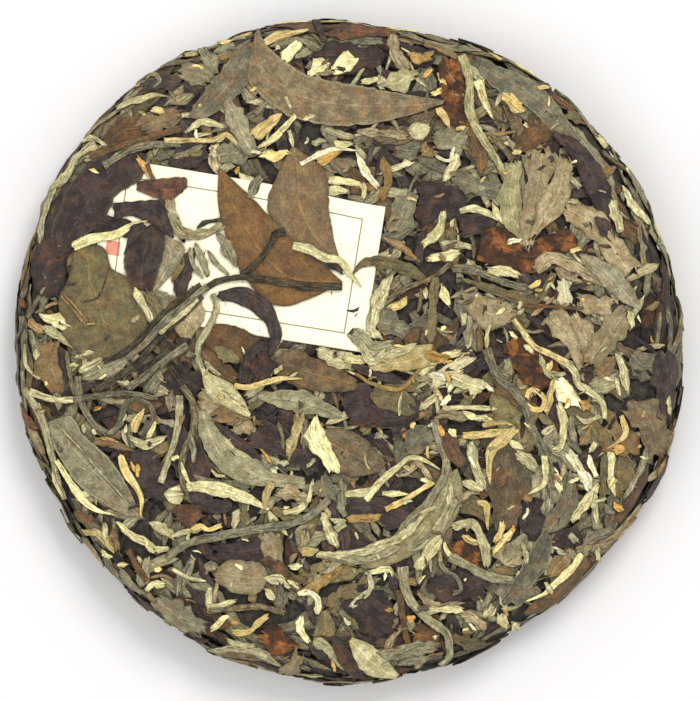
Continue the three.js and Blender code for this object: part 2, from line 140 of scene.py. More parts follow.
# How a piece's relief follows from its width: all of it from FULL_RELIEF_WIDTH up.
THICKEST_SHARE = 0.75
FULL_RELIEF_WIDTH = 4
LEAST_RELIEF = 0.25
FULL_TEAR_WIDTH = 5
FOLD_WIDTH = 1.7
FEWEST_FOLDS = 1.2
MOST_FOLDS = 4.5
WIDEST_RAGGED_END = 4.0

# The outline of each kind: how much is cut off its two ends, as shares of its
# length, how full it is, and how much and how suddenly it tapers.
LEAF_CUT = (0.02, 0.1)
LEAF_FULLNESS = 0.65
TORN_CUT = (0.04, 0.26)
TORN_FULLNESS = 0.5
SCRAP_TAPER = 0.6
STRIP_TAPER = (0.1, 0.75)
TAPER_POWER = (2, 6)
STALK_TAPER = 0.12
BUD_FROM = 0.22
BUD_SPAN = 0.74
BUD_LEAN = 0.85
BUD_THINNEST = 0.12
BUD_FULLNESS = 0.8

# The uneven width is two waves: their shares, and their turns along the piece.
UNEVEN_WAVES = [(0.6, 8), (0.4, 21)]
SWAY_TURNS = 5

# ---- The pieces that show, read off the view from above, lowest first ------------

# kind, tone, width, places that the middle line passes through
LOWER_PIECES = [
    # upper left
    ("torn", "plum", 5, [(-61, 78), (-50, 80)]),
    ("strip", "plum", 1.8, [(-88, 51), (-80, 60)]),
    ("torn", "maroon", 15, [(-90, 16), (-85, 36), (-72, 52)]),
    ("strip", "green", 3.5, [(-84, 51), (-80, 57), (-73, 60)]),
    ("torn", "brown", 7, [(-73, 60), (-66, 65), (-57, 67)]),
    ("torn", "brown_grey", 6, [(-62, 65), (-50, 70)]),
    ("strip", "pale", 1.5, [(-79, 61), (-76, 62.5), (-72, 60)]),
    ("torn", "grey", 7, [(-39, 57), (-29, 61)]),
    ("torn", "plum", 7, [(-53, 54), (-42, 60)]),
    ("strip", "grey", 4, [(-44, 90), (-40, 82)]),
    ("strip", "grey", 2.5, [(-40, 88), (-34, 90)]),
    ("torn", "grey", 7, [(-50, 83), (-42, 80)]),
    ("torn", "plum", 8, [(-10, 87), (10, 87)]),
    ("strip", "grey", 2.2, [(-23, 90), (-15, 92), (-9, 89)]),
    ("torn", "red", 5, [(-25, 95.5), (-5, 95), (15, 93)]),
    ("torn", "grey", 8, [(26, 62), (35, 66)]),
    ("torn", "rust", 8, [(30, 87), (31, 76), (35, 66)]),
    ("torn", "brown", 8, [(50, 60), (61, 68)]),
    ("strip", "tan", 3, [(-88, 48), (-93, 38), (-96, 27), (-98, 18)]),
    ("strip", "green", 3, [(-86, 50), (-91, 38), (-92, 32)]),
    # middle left
    ("strip", "plum", 2, [(-90, 8), (-83, 5)]),
    ("strip", "pale", 3, [(-91, 6), (-79, 0)]),
    ("torn", "tan", 9, [(-90, 2), (-87, -13)]),
    ("torn", "plum", 9, [(-53, -6), (-45, -13)]),
    ("torn", "plum", 14, [(-66, -34), (-53, -44)]),
    ("torn", "brown", 6, [(-44, 0), (-33, -10)]),
    ("torn", "plum", 9, [(-28, -24), (-9, -34)]),
    ("torn", "plum", 10, [(-52, -24), (-44, -46)]),
    ("torn", "red", 7, [(-52, -50), (-43, -49)]),
    ("torn", "plum", 8, [(0, -48), (20, -50)]),
    ("torn", "plum", 12, [(-1, -17), (20, -20)]),
    ("torn", "plum", 8, [(26, -4), (38, -3)]),
    # middle right
    ("torn", "plum", 13, [(20, 44), (34, 42)]),
    ("torn", "plum", 7, [(33, 37), (43, 36)]),
    ("scrap", "slate", 6, [(8, 8), (18, 6)]),
    ("torn", "slate", 6, [(31, 50), (46, 47)]),
    ("scrap", "grey", 7, [(20, 45), (12, 35)]),
    ("scrap", "beige", 9, [(33, 15), (50, 11)]),
    ("torn", "beige", 6, [(68, 14), (79, 12)]),
    ("torn", "slate", 9, [(85, -2), (94, -8)]),
    ("torn", "ash", 7, [(75, -5), (83, -14)]),
    ("torn", "green", 5, [(72, -12), (80, -9)]),
    ("torn", "plum", 9, [(93, -2), (95, -22)]),
    ("torn", "rust", 12, [(50, 3), (60, -10)]),
    ("torn", "plum", 9, [(53, -46), (60, -57)]),
    ("torn", "olive", 11, [(46, -11), (52, -32)]),
    ("torn", "umber", 11, [(49, -28), (47, -54)]),
    ("torn", "olive", 8, [(80, -27), (82, -43)]),
    ("torn", "tan", 9, [(77, -22), (84, -32)]),
    ("torn", "brown_grey", 11, [(84, -17), (94, -30)]),
    ("strip", "plum", 4, [(94, -32), (88, -45)]),
    # lower part
    ("torn", "plum", 7, [(-40, -60), (-24, -60)]),
    ("scrap", "beige", 6, [(-25, -54), (-21, -64)]),
    ("torn", "slate", 4, [(-72, -61), (-68, -71)]),
    ("torn", "plum", 4, [(-66, -72), (-56, -78)]),
    ("torn", "grey", 8, [(-57, -75), (-43, -83)]),
    ("torn", "rust", 7, [(-26, -86), (-16, -88.5)]),
    ("torn", "plum", 12, [(0, -74), (14, -82)]),
    ("torn", "red", 7, [(19, -86), (27, -86)]),
    ("torn", "plum", 9, [(24, -70), (41, -72)]),
    ("torn", "slate", 9, [(43, -70), (54, -72)]),
    ("torn", "plum", 7, [(61, -56), (68, -58)]),
    ("torn", "rust", 7, [(30, -59), (39, -63)]),
    ("torn", "beige", 6, [(43, -61), (52, -62)]),
    ("strip", "green", 2.5, [(-42, -89), (-35, -88.5), (-27, -90), (-20, -94)]),
    ("strip", "tan", 2.5, [(-37, -92), (-29, -93)]),
    ("strip", "olive", 3, [(31, -86), (41, -88)]),
    ("strip", "tan", 2, [(82, -53), (85, -50)]),
]

UPPER_PIECES = [
    # upper left
    ("stalk", "brown", 2.2, [(-76.4, 57), (-69, 60), (-62, 62), (-55, 64.3), (-50, 65.7)]),
    ("stalk", "slate", 2.4, [(-73, 54.3), (-66.4, 58.6), (-59.3, 60.7), (-50, 61)]),
    ("stalk", "straw", 1.7, [(-55, 62), (-48, 62.1), (-40.7, 62.1), (-36.4, 63.6), (-32, 59.6)]),
    ("strip", "pale", 3.4, [(-88.6, 47), (-83.6, 51.4), (-80.7, 56.4), (-75, 60)]),
    ("bud", "cream", (2.6, 2.4, 1.2), [(-69, 71.5), (-62, 74), (-58, 75.3), (-53.5, 75)]),
    ("strip", "yellow", 2, [(-58.5, 71), (-55, 71)]),
    ("strip", "orange", 1.6, [(-59, 82), (-57, 81)]),
    ("strip", "orange", 1.4, [(-64, 79), (-62, 78)]),
    ("strip", "orange", 2, [(-63, 57), (-59, 51)]),
    ("strip", "grey", 1.1, [(-60, 79.5), (-58, 81.5), (-56, 79.5), (-58, 77.5)]),
    ("torn", "grey", 6, [(-36, 73), (-33, 67), (-29, 59)]),
    ("strip", "green", 1.6, [(-52, 57), (-44, 60.5)]),
    ("strip", "cream", 2, [(-49, 64.5), (-43, 67.5), (-37, 66)]),
    ("strip", "cream", 1, [(-46, 63.5), (-41, 64)]),
    ("strip", "yellow", 1.8, [(-39, 91), (-35, 91)]),
    ("strip", "yellow", 2.5, [(-35, 94), (-29, 94)]),
    ("strip", "yellow", 2.2, [(-49, 87), (-45, 88)]),
    ("bud", "yellow", 3, [(-25, 91), (-20, 93), (-12, 94.5)]),
    ("strip", "cream", 3.6, [(-19, 86), (-15, 91)]),
    ("scrap", "cream", 4, [(-12, 82), (-6, 85)]),
    ("scrap", "cream", 5, [(-5, 83), (2, 86)]),
    ("strip", "cream", 1.2, [(-22, 97), (-12, 98)]),
    ("strip", "cream", 1.4, [(-8, 98), (6, 97.4), (20, 96)]),
    ("stalk", "plum", 2.2, [(-10, 98), (-7, 91)]),
    ("strip", "cream", 2, [(-27, 60), (-21, 64), (-16, 69)]),
    ("bud", "yellow", 4, [(-28, 63), (-24, 67), (-20, 70)]),
    ("strip", "yellow", 3, [(-26, 57.5), (-18, 58.5)]),
    ("strip", "white", 1.2, [(-18, 65), (-16.5, 60)]),
    ("bud", "white", 1.7, [(-14.5, 55), (-8, 58), (-3, 59.5), (3, 59)]),
    ("bud", "orange", 2.8, [(-9, 55.5), (-2.5, 58.5)]),
    ("bud", "cream", 2.5, [(-4, 61), (1, 61)]),
    # upper right
    ("strip", "beige", 4, [(13, 93), (14, 88), (17, 83)]),
    ("scrap", "pale", 6, [(10.5, 78.5), (20, 81.5)]),
    ("strip", "cream", 1.8, [(4, 79.5), (9, 80.5)]),
    ("strip", "ochre", 3, [(18, 87), (25, 87)]),
    ("strip", "orange", 1.5, [(22, 81), (25, 83.5)]),
    ("strip", "yellow", 2, [(25, 76), (27.5, 77)]),
    ("stalk", "bark", 1.6, [(27, 71), (23, 62)]),
    ("strip", "tan", 2.4, [(22.5, 90.8), (32.5, 86.3)]),
    ("scrap", "tan", 4, [(21.5, 58), (25, 60)]),
    ("bud", "yellow", 2.6, [(27, 71.5), (30, 66)]),
    ("leaf", "pale", 6, [(18, 64), (24, 66)]),
    ("strip", "beige", 2.5, [(3, 65), (18, 63)]),
    ("strip", "yellow", 4, [(46, 75), (52, 71)]),
    ("torn", "brown", 4.5, [(36, 68), (39, 60), (39, 53)]),
    (
        "stalk", "sage", (3, 2.8, 2.4, 2.2),
        [
            (33.3, 86.7), (35.8, 80), (35.8, 72.5), (37.5, 66.7), (41.7, 60), (45.8, 53.3),
            (48.3, 45), (49.2, 40.8),
        ],
    ),
    ("stalk", "stem", 2, [(41.7, 63.3), (46, 60), (50, 55)]),
    ("bud", "cream", (3.2, 2.6, 1.6), [(38.5, 80), (40, 75), (43, 68.5)]),
    ("strip", "white", 2.4, [(2.5, 58), (5, 53), (8.5, 48)]),
    ("strip", "ochre", 3, [(10, 57), (11.5, 50), (9.5, 44)]),
    ("strip", "white", 1.2, [(26, 57.5), (30, 56), (31.5, 60)]),
    ("strip", "yellow", 1.5, [(32, 65.5), (35, 65.5)]),
    ("strip", "cream", 1.6, [(12, 97), (21, 96)]),
    ("strip", "cream", 2.4, [(50, 85), (56, 82)]),
    ("strip", "yellow", 1.8, [(42, 88), (45, 86)]),
    ("strip", "yellow", 1.6, [(56, 77), (59, 77)]),
    ("scrap", "cream", 4, [(74, 63.5), (78, 62)]),
    ("stalk", "olive", 1.8, [(76, 59), (82, 54)]),
    ("strip", "cream", 1.8, [(83, 54), (85, 50)]),
    ("stalk", "green", 1.9, [(60.5, 54), (69, 48)]),
    ("strip", "white", 0.9, [(62, 53), (68, 56)]),
    # left of the ticket and over it
    ("strip", "tan", 1, [(-86, 15.7), (-82, 11.5), (-77.7, 6.3)]),
    ("strip", "tan", 0.8, [(-85, 16), (-81, 12), (-77.5, 7.5)]),
    ("strip", "bark", 0.5, [(-71.7, 23.7), (-73, 19), (-75, 15), (-79, 14)]),
    ("bud", "cream", 3, [(-82, 30.3), (-76.3, 33), (-69.7, 34), (-65, 36.3), (-60.3, 38)]),
    ("torn", "plum", 3.2, [(-61, 37), (-65.7, 31)]),
    ("torn", "grey", 2.6, [(-54, 44), (-51, 38), (-49, 32)]),
    ("stalk", "brown", 1.3, [(-60, 55), (-58, 50)]),
    ("strip", "pale", 2.4, [(-63.5, 18), (-61, 13), (-58.5, 7)]),
    ("strip", "olive", 2.6, [(-60, 17), (-57, 12), (-56, 8)]),
    ("scrap", "cream", 3.5, [(-91, 10), (-84, 7)]),
    ("strip", "rust", 2, [(-98, 15), (-96, 12)]),
    ("torn", "plum", (5, 5, 5), [(-23, 0), (-29, -3), (-31.5, -10)]),
    ("torn", "maroon", 7, [(-26, -2), (-25, -10)]),
    (
        "bud", "plum", (3.6, 4.8, 6, 6.4, 6),
        [(-38.6, 15.6), (-34, 16), (-30, 14.8), (-24.5, 10.5), (-21.8, 4), (-23.5, -2)],
    ),
    ("strip", "sage", 2.8, [(-53, 40), (-50, 34.5), (-45, 33.7), (-40, 35.5), (-38, 37)]),
    ("strip", "bark", 1.3, [(-45, 36), (-42.7, 37.5), (-38.2, 38.6)]),
    ("strip", "green", 2, [(-45.7, 31.4), (-44, 27), (-41.9, 21.6)]),
    ("strip", "green", 1.5, [(-47, 30), (-46.5, 25), (-43.5, 21)]),
    ("strip", "grey", 3.5, [(-39, 34), (-34, 25)]),
    ("strip", "grey", 1.5, [(-42, 29), (-36, 22)]),
    ("strip", "ash", 3, [(-26, 51), (-29.5, 45)]),
    ("strip", "tan", 1.8, [(-49.5, 27), (-52.5, 20)]),
    (
        "stalk", "green", 2.1,
        [(-40.4, 16.3), (-39.3, 11.8), (-41.9, 5.8), (-44.6, 1.3), (-44.9, -3.2), (-42.7, -8)],
    ),
    ("stalk", "bark", 1.9, [(-55.5, 4.3), (-54.7, -1.7), (-51.7, -7.8), (-48.7, -12)]),
    # right of the ticket
    ("strip", "olive", (1.2, 3, 4.6, 3), [(1, 22), (5, 26), (12, 25.5), (18, 23), (23, 19.5)]),
    ("stalk", "stem", 1.8, [(10, 13), (17, 18), (25, 21), (30, 25)]),
    ("stalk", "slate", 2.5, [(31, 24), (38, 23), (46, 20), (53, 18)]),
    ("strip", "olive", 2.5, [(33, 21), (42, 18), (53, 14), (57, 15), (61, 22)]),
    ("strip", "olive", 3, [(25.5, 21), (25, 10), (24.5, 2)]),
    ("strip", "cream", 2.6, [(28, 18.5), (30, 13)]),
    ("strip", "cream", 1.4, [(23, 18), (23, 15)]),
    ("strip", "pale", 3.6, [(12, 21), (8.5, 13), (6.5, 6), (9, 3)]),
    ("strip", "yellow", 2.6, [(12, 12), (17, 14)]),
    ("strip", "cream", 2.8, [(28, 40.5), (27, 35), (22, 31)]),
    ("strip", "cream", 3.2, [(24, 26.5), (32.5, 28.5)]),
    ("bud", "pale", 2.2, [(33, 41), (38, 41.5), (47, 37.5)]),
    ("strip", "cream", 2, [(43, 42), (48, 37)]),
    ("strip", "cream", 3, [(41.5, 23.5), (50.5, 21.5)]),
    ("strip", "cream", 1.2, [(36, 14), (38.5, 16)]),
    ("strip", "cream", 1.2, [(44, 10), (46.5, 12)]),
    ("strip", "cream", 1.4, [(42, 7), (41, 0)]),
    ("strip", "cream", 1.2, [(48, 5), (50, 3)]),
    ("torn", "beige", 8, [(65, 42), (75, 34), (85, 23)]),
    ("torn", "beige", (6, 8, 8), [(71, -5), (66, 3), (62, 11)]),
    ("torn", "beige", (5, 6, 6), [(72, -4), (70, 4), (67.5, 10)]),
    ("torn", "beige", (6, 9, 7), [(72, -5), (76, 3), (83, 10)]),
    ("torn", "sage", (4, 7, 7), [(53, 30), (48.5, 44), (49, 56)]),
    ("torn", "beige", (4, 8, 10), [(53, 30), (56, 45), (57, 59)]),
    ("torn", "beige", (4, 7, 8), [(55, 33), (61, 45), (65, 56)]),
    ("leaf", "plum", 4, [(73.5, 39), (79, 32)]),
    ("strip", "beige", 4, [(56, 23), (62, 27), (78, 19)]),
    ("leaf", "grey", 6.5, [(69, 28), (79, 20), (87, 12)]),
    ("scrap", "white", 5, [(63, 20), (66, 13)]),
    ("strip", "cream", 1, [(58.5, 17), (60, 19.5), (61.5, 17.5)]),
    ("strip", "yellow", 1.5, [(66, 29), (69, 29.6)]),
    ("strip", "yellow", 1.8, [(54, 18), (57, 20)]),
    ("stalk", "brown", 1.2, [(51, 13), (60, 12.5), (70, 12)]),
    ("strip", "cream", 1.8, [(83.5, 11), (84.5, 6.5)]),
    ("strip", "pale", 3, [(79, 44), (81, 35)]),
    ("strip", "pale", 3, [(82, 48), (89, 37)]),
    ("strip", "grey", 4, [(84, 52), (90, 42)]),
    ("strip", "cream", 2, [(91.5, 37), (93.5, 31)]),
    ("strip", "red", 2, [(90, 44), (92, 40)]),
    # left, below the ticket
    ("strip", "plum", 2.6, [(-86, 0), (-84, -12)]),
    ("strip", "pale", 1.1, [(-96, 1), (-95.5, -5), (-92, -9)]),
    ("stalk", "green", 2.6, [(-95.8, -11.7), (-91.7, -20), (-89.2, -27.5), (-87.5, -36.7), (-85, -45)]),
    ("strip", "red", 3.5, [(-98, -17), (-93, -24)]),
    ("strip", "beige", 4, [(-95, -24), (-91, -31)]),
    ("strip", "olive", 1.5, [(-84, -1), (-83, -8), (-82, -14)]),
    ("strip", "cream", 1.4, [(-80, -2), (-76, -1)]),
    ("strip", "cream", 1.2, [(-83, -5), (-81, -5)]),
    ("leaf", "grey", 5, [(-80, -9), (-66, -3)]),
    ("strip", "pale", 2.2, [(-80, -7), (-74, -3)]),
    ("stalk", "bark", 2.6, [(-75, -12.5), (-66, -7), (-58.3, -2)]),
    ("stalk", "bark", 2.8, [(-63.3, -10.8), (-58, -5), (-53, -1)]),
    ("stalk", "slate", 2.4, [(-66, -12), (-59, -7), (-54, -3), (-48, 1)]),
    ("stalk", "slate", 2.2, [(-80.8, -8.3), (-80, -15), (-76.7, -21.7), (-71.7, -25.8)]),
    ("strip", "orange", 1.4, [(-76, -18.5), (-74, -17.5)]),
    (
        "stalk", "slate", 1.9,
        [
            (-71.7, -25.8), (-68.3, -22.5), (-66.7, -16.7), (-62.5, -15), (-58.8, -17.5),
            (-58.3, -22.5), (-62.5, -25.8),
        ],
    ),
    ("bud", "yellow", 2.6, [(-64, -25), (-61, -18)]),
    ("strip", "cream", 1.6, [(-60, -27), (-57.5, -22)]),
    ("strip", "pale", 3, [(-65, -27), (-60, -28.5), (-55, -27)]),
    ("bud", "tan", 2.6, [(-76, -27.5), (-70, -28.5), (-64, -30.5)]),
    ("strip", "orange", 1, [(-74, -26.5), (-68.5, -28)]),
    ("strip", "pale", 1.2, [(-67.5, -24.5), (-66, -29)]),
    ("bud", "yellow", 2.4, [(-68, -32), (-66.5, -37), (-62, -44), (-62, -50)]),
    ("strip", "orange", 1.3, [(-65, -34), (-63, -37)]),
    ("strip", "green", 0.6, [(-87, -22.5), (-80, -30), (-73, -38), (-65, -47)]),
    ("strip", "cream", 1.6, [(-88, -37), (-85, -44)]),
    ("bud", "cream", 2.3, [(-87, -33.3), (-83.3, -39.2), (-79.2, -45), (-75, -48.3), (-70, -49.6)]),
    ("leaf", "brown", 4, [(-82, -49), (-76, -51)]),
    ("leaf", "pale", 6, [(-55, -43.5), (-49, -43.5)]),
    ("stalk", "green", 2.2, [(-50.5, -14), (-51, -23), (-53, -31), (-56, -40)]),
    ("strip", "pale", 1.5, [(-43, -4), (-38.5, -8)]),
    ("strip", "olive", 4, [(-40, 0), (-33, -4)]),
    ("torn", "beige", 8, [(-44, -14), (-37, -18), (-30, -25)]),
    ("torn", "tan", 6, [(-40, -20), (-30, -19)]),
    ("leaf", "pale", (4, 7, 7, 5), [(-43.5, -6), (-40, -11), (-35, -15.5), (-29.5, -20)]),
    ("strip", "yellow", 1.4, [(-39, -14), (-37, -14.5)]),
    ("bud", "yellow", 2, [(-34, -11), (-30, -11.5), (-25, -10), (-20, -9), (-14, -9)]),
    ("leaf", "green", 6, [(-26.7, -14), (-15, -16), (-2, -20)]),
    ("strip", "slate", 3, [(-14, -21), (-13, -30)]),
    ("strip", "straw", 3.4, [(-15, -19.6), (-16, -26), (-18, -32)]),
    ("strip", "olive", 1.2, [(-21, -22), (-19.5, -30)]),
    ("strip", "cream", (4, 5.6, 5.6, 4.5), [(-10, -20.5), (-9.5, -26), (-7, -31), (-4.5, -37)]),
    ("leaf", "plum", 3, [(-40, -22), (-30, -30), (-26, -33)]),
    ("strip", "orange", 1, [(-26, -30), (-23, -34)]),
    ("strip", "cream", 1, [(-41, -36), (-39, -38), (-37, -38)]),
    ("strip", "slate", 3, [(-46, -38), (-40, -40), (-30, -42)]),
    ("leaf", "pale", 4, [(-53, -42), (-45, -41), (-38, -42), (-30, -45), (-24, -48)]),
    ("leaf", "plum", 5, [(-45, -47), (-35, -47)]),
    (
        "stalk", "stem", 2.3,
        [
            (-49.5, -11), (-47, -15), (-46, -20), (-46.5, -25), (-49, -30), (-50, -35),
            (-49.5, -40), (-48, -45),
        ],
    ),
    ("strip", "cream", 1.2, [(-50, -34), (-48.5, -38), (-47, -41)]),
    ("strip", "grey", 1.8, [(-47, -26), (-46.5, -34)]),
    ("bud", "yellow", 2.8, [(-23, -40), (-25, -48)]),
    ("scrap", "beige", 4, [(-22, -43), (-12, -44)]),
    ("strip", "cream", 1.5, [(-10.5, -39), (-12, -46)]),
    ("strip", "cream", 2, [(-19, -49), (-13, -47)]),
    ("torn", "slate", 5, [(-8, -39), (-5, -45)]),
    # the middle and right, below the centre
    ("leaf", "olive", 8, [(7, -13), (20, -18)]),
    ("strip", "pale", 1, [(16, -13), (15, -20)]),
    ("torn", "pale", 5, [(-9, -1), (-3, -3), (2, -6)]),
    ("torn", "green", 5, [(1, 5), (7, 0), (13, 2)]),
    ("torn", "pale", 4.5, [(25, -12), (30, -6), (37, -2)]),
    ("strip", "cream", 2.6, [(21, -7), (27, -3), (33, -1)]),
    ("strip", "cream", 3, [(-1, -2), (5, -4)]),
    ("leaf", "plum", 3.4, [(1, -5), (8, -7.5), (16, -10)]),
    (
        "strip", "ochre", 1.2,
        [(-1, -6.5), (3, -8), (6, -10), (12, -12), (16, -12), (19, -9), (22, -5.5), (26, -5)],
    ),
    ("torn", "straw", (4, 6.5, 6), [(7, -6), (15, -4), (24.5, 0)]),
    ("strip", "pale", 2.4, [(6, -3), (14, -1.5), (20, 1.5)]),
    ("strip", "pale", 3, [(4, 1), (7, -4), (11, -1)]),
    ("strip", "orange", 3.4, [(23, -2), (29, -3)]),
    ("stalk", "maroon", 1, [(0, -22), (8, -23), (16, -22), (20, -20)]),
    ("strip", "orange", 2, [(16, -24), (18, -27)]),
    ("leaf", "slate", 8, [(17, -30), (25, -24)]),
    ("stalk", "grey", 2.5, [(25.5, -21), (27, -28), (29, -33), (28.5, -38), (25, -44), (22, -48), (17, -53)]),
    ("strip", "white", 2, [(24, -8), (29, -9)]),
    ("strip", "cream", 2.6, [(34, -7), (31, -9), (30, -13)]),
    ("strip", "cream", 2.4, [(22, -18), (26, -14)]),
    ("strip", "white", 2, [(28, -17), (30, -14)]),
    ("strip", "cream", 1, [(20, -12), (24, -10)]),
    ("strip", "white", 1.6, [(40, -10), (43, -13)]),
    ("scrap", "pale", 5, [(31, -9), (40, -12)]),
    ("strip", "pale", 0.8, [(39, -9), (38, -13), (37, -15)]),
    ("strip", "rust", 3, [(42, -13), (38, -16)]),
    ("strip", "brown", 3, [(44, -11), (48, -14), (51.7, -17.5)]),
    ("strip", "cream", 1.5, [(28, -18), (36, -17.5), (44, -18)]),
    ("strip", "beige", 3, [(26, -20), (36, -20)]),
    ("strip", "cream", 2, [(34, -19), (43, -21.5)]),
    ("leaf", "red", 5, [(29, -25), (34, -35)]),
    ("strip", "pale", 3, [(36, -28), (38, -35), (40, -42)]),
    ("strip", "white", 0.9, [(36, -32), (38, -36)]),
    ("strip", "cream", 2, [(30, -24), (32, -26)]),
    ("strip", "orange", 1.8, [(27, -23), (28, -26)]),
    ("bud", "yellow", 2.6, [(34, -26), (38, -26), (44, -25), (50, -24)]),
    ("bud", "yellow", 1.6, [(40, -23), (46, -22), (49, -23)]),
    ("bud", "yellow", 3.2, [(50, -24), (46, -27), (42, -31), (42, -40)]),
    ("bud", "cream", 2.5, [(48, -28), (52, -30)]),
    ("strip", "pale", 3.6, [(50, -31), (56, -36)]),
    (
        "bud", "cream", 2.3,
        [(-0.8, -43.3), (6.7, -42.5), (9.2, -40), (15, -35), (18.5, -32.5), (23, -33.5), (27, -36)],
    ),
    ("strip", "cream", 1.6, [(9, -40.5), (6.5, -43.5), (5.8, -45.5)]),
    ("stalk", "cream", 1.5, [(5, -45), (8, -41)]),
    ("bud", "cream", 1.8, [(10, -43), (18, -43.5)]),
    ("stalk", "yellow", 1.8, [(11, -48), (16, -45.5), (20, -43), (25, -40)]),
    ("strip", "cream", 1.2, [(21, -49), (26, -47)]),
    ("leaf", "pale", 3, [(34, -40), (40, -42)]),
    ("bud", "yellow", 2, [(38.5, -46), (41, -47), (41.5, -54)]),
    ("strip", "ochre", 2.5, [(0, -51), (9, -50)]),
    ("strip", "cream", 2, [(57, -2), (58, -5), (60, -8), (64, -7.5)]),
    ("scrap", "white", 5, [(61, -9), (69, -17)]),
    ("strip", "yellow", 2.2, [(61, -9), (60, -14), (59, -19.5)]),
    (
        "strip", "yellow", 1.7,
        [(53, -15), (54, -13), (56, -12.7), (58.3, -15), (57.5, -18), (55, -18.3), (53, -16.5)],
    ),
    ("strip", "cream", 2.4, [(63, -16), (64, -22), (63, -29), (61, -30)]),
    ("strip", "cream", 2, [(58, -25), (61, -23.5)]),
    ("strip", "orange", 2.6, [(69.5, -16), (71.5, -18)]),
    ("strip", "pale", 1.5, [(68, -20), (71, -22), (75, -20)]),
    ("bud", "yellow", 1.8, [(81.5, -20), (82.5, -25), (80, -28), (77, -30)]),
    ("strip", "pale", 2.4, [(80, -2), (82, -7), (83.5, -13)]),
    ("strip", "pale", 1.2, [(80, -9), (81, -14)]),
    ("leaf", "tan", 5, [(74, -8), (79, -3)]),
    ("strip", "cream", 1.8, [(95.5, -15), (95.5, -19)]),
    ("leaf", "ash", (3.5, 5, 7, 7), [(66, -36), (65.8, -45), (61.7, -51), (58.3, -58)]),
    ("leaf", "slate", (7, 7, 4), [(59, -55), (55, -66), (46, -76)]),
    ("strip", "white", 3.2, [(66.3, -31.3), (69, -36.5), (72, -41.7)]),
    ("strip", "cream", 1.6, [(73.5, -28), (72, -31)]),
    ("strip", "white", 1.7, [(71.7, -31.7), (72.5, -35), (73.8, -38.3)]),
    ("bud", "cream", 2.7, [(78, -31), (78, -38), (79.5, -44)]),
    ("scrap", "orange", 3, [(79, -30), (82, -30)]),
    ("strip", "grey", 1.8, [(88.5, -30), (87, -35), (84, -41), (82, -44)]),
    ("strip", "ochre", 2, [(93, -33), (91, -37)]),
    ("scrap", "cream", 3, [(61, -36), (63, -42)]),
    (
        "stalk", "slate", 2.6,
        [(41, 0), (44, -7.5), (49, -12.5), (52.5, -17.5), (55, -25), (59.2, -33.3), (60.4, -42)],
    ),
    ("bud", "cream", 2, [(58, -32), (58.5, -40), (53.5, -43.5)]),
    ("strip", "cream", 3, [(74, -41), (71, -46), (67, -51)]),
    ("strip", "pale", 2, [(73.5, -43), (74, -52)]),
    ("strip", "olive", 2, [(76, -32), (76, -42), (75, -48)]),
    ("strip", "orange", 2, [(79, -46), (81, -48)]),
    ("stalk", "straw", (1.5, 2, 2.3), [(49, 8.7), (55, 1), (60, -1.5), (65.8, -5)]),
    (
        "stalk", "pale", (2.3, 2.3, 2),
        [(65, -4.5), (67.3, -7), (68.5, -10.5), (72.5, -13.3), (75.8, -16.7), (76.3, -20.8)],
    ),
    # lower left
    ("strip", "yellow", 2.4, [(-80, -55), (-76, -54.5), (-73, -57), (-70, -60)]),
    ("strip", "beige", 4, [(-79, -57), (-74, -65)]),
    ("strip", "pale", 1.8, [(-73, -52), (-72, -57)]),
    ("strip", "cream", 2, [(-73, -60), (-71, -62)]),
    ("strip", "cream", 2.4, [(-69, -52), (-65, -55.5), (-61, -57.5), (-58, -60), (-54, -60)]),
    ("strip", "pale", 3, [(-59, -52), (-52, -56)]),
    ("strip", "yellow", 1.5, [(-68, -64), (-66, -64)]),
    ("strip", "yellow", 1.5, [(-58, -66), (-56, -66)]),
    ("strip", "cream", 1.2, [(-63, -62), (-62, -64)]),
    ("stalk", "brown", 2, [(-66, -60), (-63, -65), (-60, -69)]),
    ("scrap", "grey", 4, [(-68, -66), (-61, -73)]),
    ("strip", "cream", 2, [(-60, -72), (-58, -70), (-55, -70.5)]),
    ("strip", "olive", 2, [(-60, -72), (-57, -75)]),
    ("strip", "tan", 1.5, [(-65, -75), (-60, -78)]),
    ("strip", "yellow", 1.6, [(-55, -81.5), (-53, -82.5)]),
    ("strip", "pale", 2, [(-53, -56), (-44, -54)]),
    ("strip", "yellow", 1.5, [(-47, -54), (-44, -52.7), (-42, -54), (-38, -53)]),
    ("strip", "beige", 3, [(-13, -54), (-14, -61)]),
    ("strip", "red", 3, [(-26, -63), (-18, -67)]),
    ("strip", "pale", 3, [(-25, -68), (-18, -71)]),
    ("strip", "cream", 2.6, [(-25, -72), (-22, -75)]),
    ("scrap", "slate", 4, [(-20, -71), (-19, -78)]),
    ("strip", "olive", 3, [(-18, -68), (-13, -69)]),
    ("strip", "white", 1.8, [(-17.5, -65), (-14.5, -65)]),
    ("bud", "yellow", 3, [(-14, -61), (-9, -60)]),
    (
        "stalk", "slate", 2.6,
        [
            (-54.2, -62.5), (-48.3, -58.3), (-38.3, -55.8), (-28.3, -53.8), (-18.3, -52.5),
            (-11.7, -50), (-5.8, -45),
        ],
    ),
    ("bud", "ochre", 3.4, [(-13, -73), (-9, -70), (-4, -67), (-2, -65)]),
    ("strip", "white", 2, [(-15, -73), (-12, -72.5), (-9.5, -75), (-9.5, -79)]),
    ("strip", "cream", 2, [(-42, -77), (-34, -75.5)]),
    ("stalk", "stem", 1.9, [(-41.7, -78.3), (-33, -77.5), (-26.7, -77), (-19.2, -79)]),
    ("strip", "cream", 2, [(-41, -84), (-38, -81), (-36, -80)]),
    ("strip", "yellow", 2, [(-35, -84.5), (-30, -84.5), (-27, -82), (-24, -80)]),
    ("strip", "orange", 1.3, [(-35, -82), (-33, -82)]),
